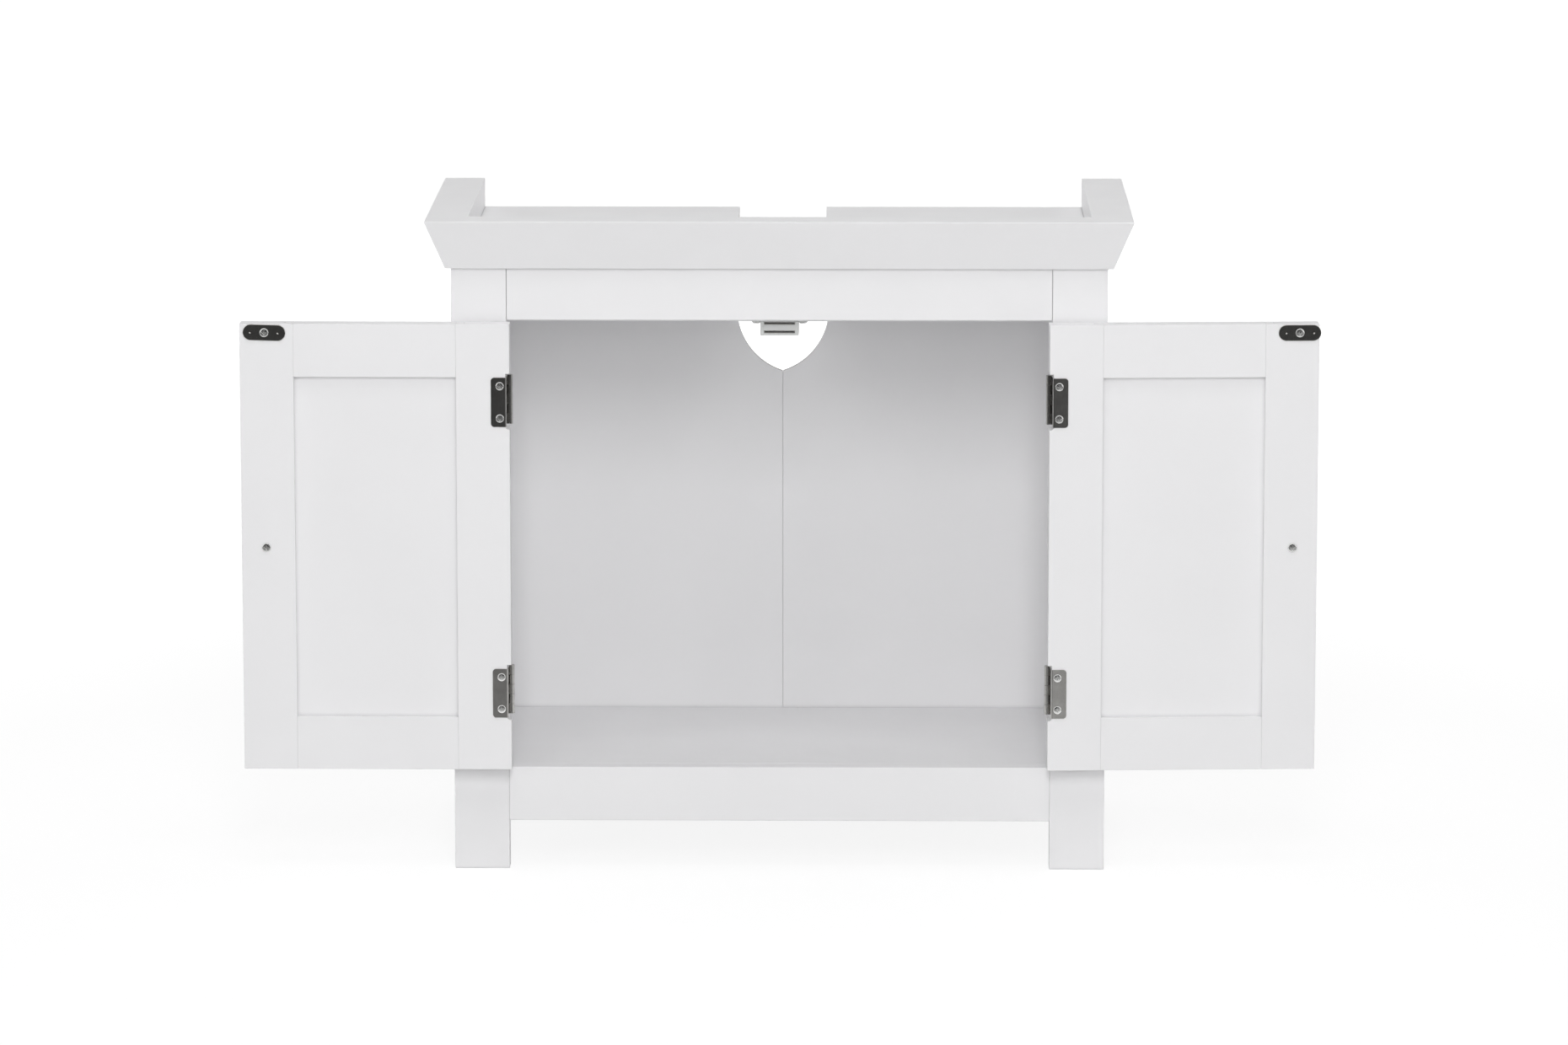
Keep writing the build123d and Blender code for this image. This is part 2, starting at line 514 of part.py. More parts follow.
def hinge_notch(centre):
    """Shallow notch in the door edge that takes one hinge; its lower corner is rounded."""
    notch = block((DOOR_LEAF_FACE, DOOR_HINGE_EDGE + PAST), (-PAST, DOOR_THICKNESS + PAST),
                  (centre - HINGE_HEIGHT / 2 - HINGE_NOTCH_BELOW,
                   centre + HINGE_HEIGHT / 2 + HINGE_NOTCH_ABOVE))
    lower_corner = notch.edges().filter_by(Axis.Y).group_by(Axis.X)[0].sort_by(Axis.Z)[0]
    return fillet(lower_corner, NOTCH_CORNER)


def door_frame():
    """Stiles, rails and panel of a shut right-hand door."""
    left, right = DOOR_FREE_EDGE + FRAME_WIDTH, DOOR_HINGE_EDGE - FRAME_WIDTH
    low, high = DOOR_BOTTOM + FRAME_WIDTH, DOOR_TOP - FRAME_WIDTH
    depth, full_height = (0, DOOR_THICKNESS), (DOOR_BOTTOM, DOOR_TOP)
    open_height = (DOOR_BOTTOM - PAST, DOOR_TOP + PAST)
    free_stile = block((DOOR_FREE_EDGE, left), depth, full_height, DOOR_ARRIS)
    free_stile -= groove((left - PANEL_GROOVE_DEPTH, left + PAST), open_height)
    hinge_stile = block((right, DOOR_HINGE_EDGE), depth, full_height, DOOR_ARRIS)
    hinge_stile -= groove((right - PAST, right + PANEL_GROOVE_DEPTH), open_height)
    for centre in HINGE_CENTRES.values():
        hinge_stile -= hinge_notch(centre)

    tongue = PANEL_GROOVE_DEPTH - PANEL_EDGE_PLAY
    tongued = (left - tongue, right + tongue)
    grooved = (left - PANEL_GROOVE_DEPTH, right + PANEL_GROOVE_DEPTH)
    middle = ((DOOR_THICKNESS - PANEL_THICKNESS) / 2, (DOOR_THICKNESS + PANEL_THICKNESS) / 2)
    top_rail = block((left, right), depth, (high, DOOR_TOP), DOOR_ARRIS)
    top_rail += block(tongued, middle, (high, DOOR_TOP))
    top_rail -= groove(grooved, (high - PAST, high + PANEL_GROOVE_DEPTH))
    bottom_rail = block((left, right), depth, (DOOR_BOTTOM, low), DOOR_ARRIS)
    bottom_rail += block(tongued, middle, (DOOR_BOTTOM, low))
    bottom_rail -= groove(grooved, (low - PANEL_GROOVE_DEPTH, low + PAST))
    panel = block(tongued, middle, (low - tongue, high + tongue), PANEL_ARRIS)
    return {"hinge_stile": hinge_stile, "free_stile": free_stile, "top_rail": top_rail,
            "bottom_rail": bottom_rail, "panel": panel}


def knob():
    """Round turned knob on the front face of the door."""
    place = (DOOR_FREE_EDGE + KNOB_EDGE, 0, DOOR_MIDDLE)
    outwards = (0, -1, 0)
    return turned(KNOB_PROFILE, place, outwards) - rod(place, outwards, KNOB_BORE_RADIUS, KNOB_BORE_DEPTH)


def knob_screw(play=0.0):
    """Screw through the door into the knob, with its head on the inner face."""
    start = (DOOR_FREE_EDGE + KNOB_EDGE, DOOR_THICKNESS, DOOR_MIDDLE)
    return pan_screw(start, (0, -1, 0), **KNOB_SCREW, play=play)


def strike(side):
    """Strike plate, its screw and the hole for it on the inner face of a shut door."""
    centre = (DOOR_FREE_EDGE + STRIKE_EDGE[side] + STRIKE_LENGTH / 2, DOOR_THICKNESS,
              DOOR_TOP - STRIKE_BELOW_TOP)
    place = Plane(origin=centre, x_dir=(1, 0, 0), z_dir=(0, 1, 0)).location * Rot(0, 0, STRIKE_TILT[side])
    plate = place * extrude(SlotOverall(STRIKE_LENGTH, STRIKE_HEIGHT), STRIKE_THICKNESS)
    for sign in SIDES.values():
        plate -= place * Pos(sign * STRIKE_DIMPLE_OFFSET, 0, STRIKE_THICKNESS) * Cone(*STRIKE_DIMPLE)
    start = (centre[0], DOOR_THICKNESS + STRIKE_THICKNESS + STRIKE_SCREW_PROUD, centre[2])
    screw = wood_screw(start, (0, -1, 0), **STRIKE_SCREW)
    hole = wood_screw(start, (0, -1, 0), **STRIKE_SCREW, play=SCREW_PLAY)
    return plate - hole, screw, hole


def build_door(side):
    """All nodes of one door, drilled and swung to rest."""
    holes = [knob_screw(KNOB_SCREW_PLAY)]
    leaves, leaf_screws = {}, []
    for place, centre in HINGE_CENTRES.items():
        leaves[f"leaf_{place}"], screws, leaf_holes = door_leaf(centre)
        leaf_screws += screws
        holes += leaf_holes
    plate, strike_screw, strike_hole = strike(side)
    holes.append(strike_hole)
    pieces = {name: drilled(board, holes) for name, board in door_frame().items()} | leaves | {
        "knob": knob(), "knob_screw": knob_screw(), "strike_plate": plate, "strike_screw": strike_screw}
    for name, solid in pieces.items():
        nodes[f"door_{side}_{name}"] = [swung(solid, side)]
    nodes[f"door_{side}_leaf_screws"] = [swung(screw, side) for screw in leaf_screws]


# ---- assembly --------------------------------------------------------------------------------
def build_carcass():
    """All nodes of the carcass, with the holes for its fasteners."""
    holes, frame_screws, pins = [], [], []
    for group, sites in dowel_sites().items():
        nodes[group] = [dowel(point, axis) for point, axis in sites]
        holes += [dowel(point, axis, DOWEL_PLAY) for point, axis in sites]
    nodes["cam_discs"], nodes["cam_bolts"], pockets = cam_fittings()
    holes += pockets
    housing, poles, magnet, catch_screws, catch_holes = magnetic_catch()
    nodes["catch_housing"], nodes["catch_pole_plates"] = [housing], poles
    nodes["catch_magnet"], nodes["catch_screws"] = [magnet], catch_screws
    holes += catch_holes
    for side in SIDES:
        for place, centre in HINGE_CENTRES.items():
            leaf, screws, leaf_holes = frame_leaf(centre)
            nodes[f"frame_leaf_{side}_{place}"] = [for_side(leaf, side)]
            frame_screws += [for_side(screw, side) for screw in screws]
            holes += [for_side(hole, side) for hole in leaf_holes]
            pins.append(for_side(hinge_pin(centre), side))
    nodes["frame_leaf_screws"], nodes["hinge_pins"] = frame_screws, pins
    for name, board in carcass_boards().items():
        nodes[name] = [drilled(board, holes)]


def save_parts():
    """Put the origin under the middle of the footprint and write one file per node."""
    boxes = [solid.bounding_box() for solids in nodes.values() for solid in solids]
    middle = (min(box.min.Y for box in boxes) + max(box.max.Y for box in boxes)) / 2
    print("origin is at y =", round(middle, 3), "from the stile front")
    to_origin = Pos(0, -middle, 0)
    for name, solids in nodes.items():
        placed = [to_origin * solid for solid in solids]
        export_step(placed[0] if len(placed) == 1 else Compound(children=placed), f"parts/{name}.step")


build_carcass()
for door_side in SIDES:
    build_door(door_side)
save_parts()
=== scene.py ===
"""Looks of the sink base cabinet: paint, plated steel, fittings, soft studio light and camera."""
import json
import math

import bmesh
import bpy
from mathutils import Matrix, Vector

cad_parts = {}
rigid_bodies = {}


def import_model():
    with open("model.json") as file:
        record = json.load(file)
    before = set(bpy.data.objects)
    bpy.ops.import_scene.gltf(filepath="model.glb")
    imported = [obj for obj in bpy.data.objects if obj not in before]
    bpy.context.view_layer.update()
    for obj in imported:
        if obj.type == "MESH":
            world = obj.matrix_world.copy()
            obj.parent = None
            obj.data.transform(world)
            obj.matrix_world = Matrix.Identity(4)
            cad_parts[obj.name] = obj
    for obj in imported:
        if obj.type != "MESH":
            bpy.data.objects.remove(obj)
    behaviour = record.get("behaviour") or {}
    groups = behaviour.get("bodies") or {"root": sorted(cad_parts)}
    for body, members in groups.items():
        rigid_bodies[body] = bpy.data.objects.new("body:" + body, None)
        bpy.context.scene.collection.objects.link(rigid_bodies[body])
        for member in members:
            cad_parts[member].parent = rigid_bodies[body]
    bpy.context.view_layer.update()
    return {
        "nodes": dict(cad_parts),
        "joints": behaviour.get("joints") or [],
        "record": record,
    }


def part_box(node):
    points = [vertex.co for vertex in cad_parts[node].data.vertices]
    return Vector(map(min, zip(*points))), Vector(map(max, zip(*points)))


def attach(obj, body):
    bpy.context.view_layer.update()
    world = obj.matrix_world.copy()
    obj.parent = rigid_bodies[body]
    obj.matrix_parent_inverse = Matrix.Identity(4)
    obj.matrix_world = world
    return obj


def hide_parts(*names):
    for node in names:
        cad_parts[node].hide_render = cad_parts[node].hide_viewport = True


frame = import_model()

MM = 0.001
SIDES = {"left": -1, "right": 1}

# ---- camera: the photograph's view, fitted to the corners of the cabinet --------------------
IMAGE_WIDTH = 1860              # pixels
FOCAL_PIXELS = 8336
CAMERA_PLACE = (0.0768, -6.4365, 1.3937)
CAMERA_YAW = math.radians(-0.66)
CAMERA_PITCH = math.radians(9.66)       # downwards

# ---- light ------------------------------------------------------------------------------------
WORLD_STRENGTH = 0.13           # of the even light from all round
SOFTBOXES = {                   # place, size in metres, power in watts
    "low_front": ((0.1, -5.2, 1.2), (0.8, 1.2), 36.0),
    "high_front": ((0.1, -4.4, 2.6), (0.9, 1.6), 62.0),
    "over_front": ((0, -1.8, 3.6), (2.4, 1.4), 31.0),
    "top": ((0, 0.2, 3.2), (3.0, 3.0), 8.0),
    "front_left": ((-3.2, -3.6, 1.4), (1.2, 1.6), 15.0),
    "front_right": ((3.2, -3.6, 1.4), (1.2, 1.6), 15.0),
    "flank_left": ((-3.4, 1.2, 1.5), (2.0, 2.0), 22.0),
    "flank_right": ((3.4, 1.2, 1.5), (2.0, 2.0), 22.0),
    "rear": ((0, 4.6, 1.0), (2.4, 1.4), 55.0),
}
SOFTBOX_AIM = (0, 0, 0.3)       # the middle of the cabinet

FLOOR_HALF = 12.0               # metres from the middle to the edge of the floor
FLOOR_DROP = 0.2 * MM           # the floor lies this far below the feet
FLOOR_LIGHTING = (0.80, 0.80, 0.80, 1)      # its colour for the light that it throws back
FLOOR_SHOWN = (0.20, 0.20, 0.201, 1)        # its colour for the camera, besides its own brightness
SHADOW_REACH = (0.9, 2.6)       # metres from the middle where it starts and ends to whiten
FLOOR_GLOW = (0.855, 1.0)       # its own brightness before and beyond

CARD_DEPTHS = (-0.6, -7.4)      # y of the grey floor that metal mirrors, from near to far
CARD_HALF = 4.0                 # half its width
CARD_LIFT = 4 * MM              # its height over the studio floor
CARD_CEILING = 4.5              # height of the dark wall at its far end
CARD_FADE = (-2.6, -0.8)        # y where its dark and its light grey are reached
CARD_GREYS = (0.03, 0.34)       # dark and light grey
STRIP_START = (0.15, 0.30)      # x where a lighter strip fades in
STRIP_END = (0.80, 0.92)        # x where it fades out
STRIP_GREYS = (0.065, 0.68)     # its dark and its light grey


# ---- node helpers ------------------------------------------------------------------------------
EDGE_TURN = (0.80, 0.95)        # a normal's share along y: an edge below the first, a face above the second
SEAM_REACH = (0.4 * MM, 0.6 * MM)       # from the middle to where the back's seam ends
PAINTED_SHADE_OPENNESS = (0.45, 0.90)  # free share of the surroundings where the painted shade in corners is darkest, and where it ends
OPENNESS_SAMPLES = 8


class Shader:
    """A material being built: adds nodes, links them and keeps the surface shader at hand."""

    def __init__(self, name, **sockets):
        self.material = bpy.data.materials.new(name)
        self.material.use_nodes = True
        self.tree = self.material.node_tree
        self.surface = self.tree.nodes["Principled BSDF"]
        for socket, value in sockets.items():
            self.surface.inputs[socket.replace("_", " ")].default_value = value
        self.place = self.node("ShaderNodeTexCoord").outputs["Object"]

    def node(self, kind, inputs=None, **settings):
        """A new node with its settings made and its sockets linked or filled."""
        made = self.tree.nodes.new(kind)
        for key, value in settings.items():
            setattr(made, key, value)
        for socket, value in (inputs or {}).items():
            if isinstance(value, bpy.types.NodeSocket):
                self.tree.links.new(value, made.inputs[socket])
            else:
                made.inputs[socket].default_value = value
        return made

    def noise(self, size, detail=3, stretch=(1, 1, 1)):
        """Noise between 0 and 1 whose blobs are about size metres across."""
        place = self.node("ShaderNodeMapping", {"Vector": self.place, "Scale": stretch}).outputs["Vector"]
        inputs = {"Vector": place, "Scale": 1 / size, "Detail": detail}
        return self.node("ShaderNodeTexNoise", inputs).outputs["Fac"]

    def ramp(self, value, low, high, start=0.3, end=0.7):
        """Map a value's start to end range on to low to high."""
        inputs = {"Value": value, "From Min": start, "From Max": end, "To Min": low, "To Max": high}
        return self.node("ShaderNodeMapRange", inputs).outputs["Result"]

    def product(self, first, second):
        """One value times the other."""
        return self.node("ShaderNodeMath", {0: first, 1: second}, operation="MULTIPLY").outputs["Value"]

    def colour(self, value, low, high, start=0.3, end=0.7):
        """Blend from low to high as a value goes from start to end."""
        ramp = self.node("ShaderNodeValToRGB", {"Fac": value})
        ramp.color_ramp.elements[0].position = start
        ramp.color_ramp.elements[1].position = end
        ramp.color_ramp.elements[0].color = (*low, 1)
        ramp.color_ramp.elements[1].color = (*high, 1)
        return ramp.outputs["Color"]

    def mix(self, fraction, first, second):
        """The first colour where the fraction is 0 and the second where it is 1."""
        mixed = self.node("ShaderNodeMix", data_type="RGBA")
        for socket, value in (("Factor_Float", fraction), ("A_Color", first), ("B_Color", second)):
            self.tree.links.new(value, next(i for i in mixed.inputs if i.identifier == socket))
        return next(o for o in mixed.outputs if o.identifier == "Result_Color")

    def size_of(self, vector, axis):
        """How large one coordinate of a vector is, whatever its sign."""
        part = self.node("ShaderNodeSeparateXYZ", {"Vector": vector}).outputs[axis]
        return self.node("ShaderNodeMath", {0: part}, operation="ABSOLUTE").outputs["Value"]

    def raw_and_shaded_edge(self):
        """Mask of the raw board colour and its painted shade: 1 on edges and arrises along the depth, but
        not in the middle seam; 0 on the large faces.
        """
        normal = self.node("ShaderNodeTexCoord").outputs["Normal"]
        turned = self.ramp(self.size_of(normal, "Y"), 1.0, 0.0, *EDGE_TURN)
        beside_seam = self.ramp(self.size_of(self.place, "X"), 0.0, 1.0, *SEAM_REACH)
        return self.product(turned, beside_seam)

    def painted_corner_shade(self, colour, reach, darkest):
        """The colour with painted shade: it falls to darkest of itself where a corner closes in within
        reach.
        """
        corners = self.node("ShaderNodeAmbientOcclusion", {"Distance": reach}, samples=OPENNESS_SAMPLES)
        share = self.ramp(corners.outputs["AO"], darkest, 1.0, *PAINTED_SHADE_OPENNESS)
        return self.node("ShaderNodeHueSaturation", {"Color": colour, "Value": share}).outputs["Color"]

    def set(self, **links):
        """Link outputs to sockets of the surface shader."""
        for socket, output in links.items():
            self.tree.links.new(output, self.surface.inputs[socket.replace("_", " ")])

    def bump(self, height, strength, distance):
        """Add relief on top of any that is there."""
        before = self.surface.inputs["Normal"].links
        inputs = {"Height": height, "Strength": strength, "Distance": distance}
        if before:
            inputs["Normal"] = before[0].from_socket
        self.set(Normal=self.node("ShaderNodeBump", inputs).outputs["Normal"])


# ---- materials ---------------------------------------------------------------------------------
BOARD_CORE_AND_SHADE = ((0.13, 0.12, 0.11), (0.22, 0.205, 0.19))      # darkest and lightest colour, as below; the board's raw inside, darkened further as painted shade on the cut edges
BEECH_GRAIN = ((0.52, 0.34, 0.19), (0.74, 0.55, 0.36))
FERRITE_GRAIN = ((0.03, 0.03, 0.033), (0.07, 0.07, 0.074))
NO_STRETCH = (1, 1, 1)


def shaded(tint, share):
    """The tint, darkened to a share of itself."""
    return tuple(channel * share for channel in tint)


def paint(name, tint, roughness=(0.40, 0.52), raw_and_shaded_edges=False):
    """Sprayed satin lacquer on fibreboard: orange peel, faint roller waves and uneven gloss, with shade
    painted into its corners.

    With raw, shaded edges, the cut edges and their arrises show the board's grey-brown inside, darkened
    further as painted shade."""
    shader = Shader(name, IOR=1.5)
    clouds = shader.noise(size=90 * MM, detail=4)
    colour = shader.colour(clouds, low=shaded(tint, 0.985), high=tint)
    if raw_and_shaded_edges:
        fibres = shader.noise(size=0.8 * MM)
        # painted shade: the raw board colour, darkened further, stands in for the shade on the cut edges
        # and arrises
        core_and_shade = shader.colour(fibres, *BOARD_CORE_AND_SHADE)
        colour = shader.mix(shader.raw_and_shaded_edge(), colour, core_and_shade)
    sheen = shader.noise(size=35 * MM)
    # painted shade: the lacquer's colour darkens in corners and recesses, where shade falls
    shader.set(Base_Color=shader.painted_corner_shade(colour, reach=4 * MM, darkest=0.84),
               Roughness=shader.ramp(sheen, *roughness))
    orange_peel = shader.noise(size=1.1 * MM, detail=2)
    shader.bump(orange_peel, strength=0.10, distance=0.06 * MM)
    roller_waves = shader.noise(size=18 * MM, detail=2)
    shader.bump(roller_waves, strength=0.12, distance=0.25 * MM)
    return shader.material


def plated_steel(name, tint, roughness, scratch_stretch=(1, 1, 0.12)):
    """Nickel-plated steel with fine polishing lines and small changes of gloss."""
    shader = Shader(name, Metallic=1.0)
    lines = shader.noise(size=1.2 * MM, detail=2, stretch=scratch_stretch)
    patches = shader.noise(size=6 * MM)
    shader.set(Base_Color=shader.colour(patches, low=shaded(tint, 0.86), high=tint),
               Roughness=shader.ramp(lines, *roughness))
    shader.bump(lines, strength=0.10, distance=0.02 * MM)
    waves = shader.noise(size=11 * MM, detail=1)
    shader.bump(waves, strength=0.05, distance=0.06 * MM)
    return shader.material


def moulded_plastic(name, tint):
    """Plastic with the fine grain of its mould."""
    shader = Shader(name, IOR=1.46)
    grain = shader.noise(size=0.5 * MM, detail=2)
    clouds = shader.noise(size=10 * MM)
    shader.set(Base_Color=shader.colour(clouds, low=shaded(tint, 0.96), high=tint),
               Roughness=shader.ramp(grain, low=0.38, high=0.5))
    shader.bump(grain, strength=0.15, distance=0.03 * MM)
    return shader.material


def beech(name):
    """Bare wood with its grain along x."""
    shader = Shader(name, Roughness=0.6)
    grain = shader.noise(size=1.6 * MM, detail=4, stretch=(0.12, 1, 1))
    shader.set(Base_Color=shader.colour(grain, *BEECH_GRAIN))
    shader.bump(grain, strength=0.3, distance=0.1 * MM)
    return shader.material


def ferrite(name):
    """Dark sintered magnet."""
    shader = Shader(name, Roughness=0.7)
    grain = shader.noise(size=0.8 * MM)
    shader.set(Base_Color=shader.colour(grain, *FERRITE_GRAIN))
    return shader.material


MATERIALS = {
    "white_board": paint("white_lacquer", tint=(0.90, 0.897, 0.907)),
    "white_back_board": paint("white_back_lacquer", tint=(0.885, 0.882, 0.892), roughness=(0.46, 0.58),
                              raw_and_shaded_edges=True),
    "hinge_steel": plated_steel("nickel_sheet", tint=(0.56, 0.55, 0.53), roughness=(0.07, 0.13)),
    "screw_steel": plated_steel("bright_screw_steel", tint=(0.86, 0.86, 0.85), roughness=(0.20, 0.30),
                                scratch_stretch=NO_STRETCH),
    "knob_nickel": plated_steel("brushed_nickel", tint=(0.62, 0.60, 0.57), roughness=(0.26, 0.36),
                                scratch_stretch=NO_STRETCH),
    "catch_plastic": moulded_plastic("grey_white_plastic", tint=(0.70, 0.71, 0.70)),
    "magnet": ferrite("ferrite"),
    "dowel_beech": beech("beech"),
}


def dress_cad_nodes():
    """Give every carried-over node the finish of its slot in the record."""
    for part in frame["record"]["subparts"]:
        node = frame["nodes"][part["node"]]
        node.data.materials.clear()
        node.data.materials.append(MATERIALS[part["material_slot"]])


# ---- sizes of the fittings, for a right-hand door that is shut ------------------------------------
LEAF_THICKNESS = 1.0 * MM
LEAF_CORNER = 3.0 * MM
LEAF_BEND = 1.6 * MM            # outer radius where the door leaf wraps round the door
KNUCKLE_RADIUS = 2.75 * MM
KNUCKLE_GAP = 0.2 * MM
KNUCKLE_COUNT = 5
KNUCKLE_CURL = math.radians(300)
CURL_STEPS = 28
BEND_STEPS = 8
WEB_END = 2.5 * MM              # edge of the leaf beside the axis, where the other leaf turns
SAME_SPOT = 0.01 * MM           # nearer than this, two spots are one
PIN_RADIUS = 1.7 * MM
LEAF_SCREW_SPACING = 29.5 * MM
LEAF_SCREW_INSET = 6.0 * MM     # from the outer face of the bend
LEAF_CORNER_STEPS = 8
PIN_END = (0.7, 0.4 * MM)       # share of the radius on its end face, and length of its chamfer
HOLE_PLAY = 0.12 * MM
HOLE_PAST = 0.2 * MM            # how far the cutter of a screw hole stands out of the leaf
SHEET_RIM = 0.26 * MM
SHEET_EDGE = math.radians(60)   # edges that turn more than this are rounded

CATCH_HALF_WIDTH = 17.4 * MM
CATCH_ROUNDING = 1.0 * MM
CATCH_FRONT_WALL = 1.5 * MM
CATCH_FLANGE = (2.0 * MM, 16.0 * MM, 3.0 * MM)      # thickness, depth, corner radius
CATCH_FLANGE_RIM = 1.6 * MM
POLE_THICKNESS = 2.2 * MM
POLE_PLAY = 0.15 * MM
POLE_RIM = 0.6 * MM

STRIKE_SIZE = (38.6 * MM, 14.6 * MM, 1.2 * MM)
STRIKE_TILT = {"left": math.radians(1.5), "right": 0.0}
STRIKE_RIM = 0.45 * MM
PIP_OFFSET = 12.5 * MM          # pip to the middle of the strike plate
PIP_RADII = (0.3 * MM, 1.1 * MM, 1.4 * MM)      # at the bottom, at the surface and above it
PIP_BOTTOM = (0.25 * MM, 0.3 * MM)      # height of its middle and of its bottom edge
PIP_SIDES = 24

KNOB_PROFILE = [                # (radius, distance from the door), in millimetres
    (2.1, 0), (7.3, 0), (7.5, 0.3), (7.5, 1.2), (7.2, 1.7), (5.9, 2.6), (5.2, 4.4), (5.0, 7.0), (5.2, 9.6),
    (6.3, 11.6), (9.0, 13.2), (12.4, 14.7), (14.4, 16.2), (15.0, 18.0), (14.9, 19.6), (14.2, 21.2),
    (12.8, 22.5), (10.4, 23.6), (10.0, 23.5), (9.6, 23.9), (6.0, 24.75), (0, 25.0)]
KNOB_SIDES = 72

LEAF_SCREW = {"head": 3.8 * MM, "shank": 1.6 * MM, "length": 14 * MM}
STRIKE_SCREW = {"head": 4.0 * MM, "shank": 1.75 * MM, "length": 15 * MM}
STRIKE_SCREW_PROUD = 0.1 * MM
CATCH_SCREW = {"head": 3.4 * MM, "shank": 1.6 * MM, "length": 14 * MM, "height": 1.8 * MM}
KNOB_SCREW = {"head": 4.2 * MM, "shank": 2.0 * MM, "length": 26 * MM, "height": 2.0 * MM}
THREAD_PITCH = 1.25 * MM
THREAD_DEPTH = 0.35 * MM
SCREW_POINT = 3 * MM
HEAD_DOME = (                   # (share of the head's radius, height in millimetres)
    (0, 0.45), (0.4, 0.44), (0.62, 0.40), (0.78, 0.29), (0.9, 0.12), (0.97, -0.06), (1.0, -0.22),
    (1.0, -0.38))
DOME_RECESS_HEIGHT = 0.4 * MM   # where the cross of a domed head is measured from
PAN_STEPS = 12
PAN_ROUNDING = (0.6, 0.4)       # powers that widen a pan head's top and steepen its side
PAN_RIM_HEIGHT = 0.12           # share of the head's height where it is widest
PAN_FOOT = 0.97                 # share of the head's radius that stands on the surface
PAN_NECK = 0.5 * MM             # smooth stretch under the head
RECESS_TOP, RECESS_FLOOR = 0.3 * MM, -1.0 * MM      # from just above the head down
RECESS_WING = ((0.66, 0.15), (0.34, 0.08))      # reach and half width above and below, in head radii
RECESS_CONE = 0.34              # radius and depth of its middle, in head radii
RECESS_SIDES = 16
PAST = 0.3 * MM                 # how far cutters run past the face that they cut
SHARP_ANGLE = math.radians(40)

STILE_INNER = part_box("front_stile_right")[0].x


# ---- mesh helpers ----------------------------------------------------------------------------------
def facing(origin, outwards, across):
    """Placement whose z axis points outwards and whose x axis runs across."""
    z, x = Vector(outwards), Vector(across)
    turn = Matrix((x, z.cross(x), z)).transposed()
    return Matrix.Translation(origin) @ turn.to_4x4()


def lathe(profile, sides=40):
    """Mesh turned round z from (radius, height) points."""
    bm = bmesh.new()
    rings = []
    for radius, height in profile:
        turns = [2 * math.pi * i / sides for i in range(sides if radius else 1)]
        rings.append([bm.verts.new((radius * math.cos(t), radius * math.sin(t), height)) for t in turns])
    for low, high in zip(rings, rings[1:]):
        for i in range(sides):
            corners = (low[i % len(low)], low[(i + 1) % len(low)],
                       high[(i + 1) % len(high)], high[i % len(high)])
            bm.faces.new(list(dict.fromkeys(corners)))
    bmesh.ops.recalc_face_normals(bm, faces=bm.faces)
    return bm


def flowing(points, steps=4):
    """Points along a smooth (Catmull-Rom) curve through the given ones."""
    ends = [points[0]] + list(points) + [points[-1]]
    curve = []
    for a, b, c, d in zip(ends, ends[1:], ends[2:], ends[3:]):
        for step in range(steps):
            t = step / steps
            curve.append(tuple(0.5 * (2 * q + (r - p) * t + (2 * p - 5 * q + 4 * r - s) * t ** 2
                                      + (3 * q - p - 3 * r + s) * t ** 3)
                               for p, q, r, s in zip(a, b, c, d)))
    return curve + [tuple(points[-1])]


def rounded_block(low, high, rim=0.0):
    """Box between two corners with rounded edges."""
    bm = bmesh.new()
    bmesh.ops.create_cube(bm, size=1)
    low, high = Vector(low), Vector(high)
    bm.transform(Matrix.Translation((low + high) / 2) @ Matrix.Diagonal((*(high - low), 1)))
    if rim:
        bmesh.ops.bevel(bm, geom=bm.edges[:], offset=rim, segments=4, affect="EDGES", profile=0.5)
    return bm


def inset(outline, amount):
    """A closely spaced counterclockwise outline, moved inwards."""
    moved = []
    for before, here, after in zip(outline[-1:] + outline[:-1], outline, outline[1:] + outline[:1]):
        along = (after - before).normalized()
        moved.append(here + amount * Vector((-along.y, along.x)))
    return moved


def plate(outline, thickness, rim):
    """Flat plate from z = 0 up inside an outline; its upper edge is rounded by rim."""
    bm = bmesh.new()
    rim_steps = 5
    levels = [(0, 0)]
    for step in range(rim_steps + 1):
        turn = math.pi / 2 * step / rim_steps
        levels.append((rim * (1 - math.cos(turn)), thickness - rim + rim * math.sin(turn)))
    rings = [[bm.verts.new((*spot, z)) for spot in inset(outline, amount)] for amount, z in levels]
    for low, high in zip(rings, rings[1:]):
        for i in range(len(low)):
            j = (i + 1) % len(low)
            bm.faces.new((low[i], low[j], high[j], high[i]))
    bm.faces.new(rings[0])
    bm.faces.new(rings[-1])
    bmesh.ops.recalc_face_normals(bm, faces=bm.faces)
    return bm


def stadium(length, height, steps=24):
    """Outline of a strip with half-round ends."""
    radius = height / 2
    outline = []
    for middle, start in ((length / 2 - radius, -math.pi / 2), (radius - length / 2, math.pi / 2)):
        for step in range(steps + 1):
            turn = start + math.pi * step / steps
            outline.append(Vector((middle + radius * math.cos(turn), radius * math.sin(turn))))
    return outline


def rounded_rectangle(width, height, corner, steps=10):
    """Outline round the origin with rounded corners."""
    outline = []
    for quarter, (x, y) in enumerate(((1, -1), (1, 1), (-1, 1), (-1, -1))):
        middle = Vector((x * (width / 2 - corner), y * (height / 2 - corner)))
        for step in range(steps + 1):
            turn = math.pi / 2 * (quarter - 1 + step / steps)
            outline.append(middle + corner * Vector((math.cos(turn), math.sin(turn))))
    return outline


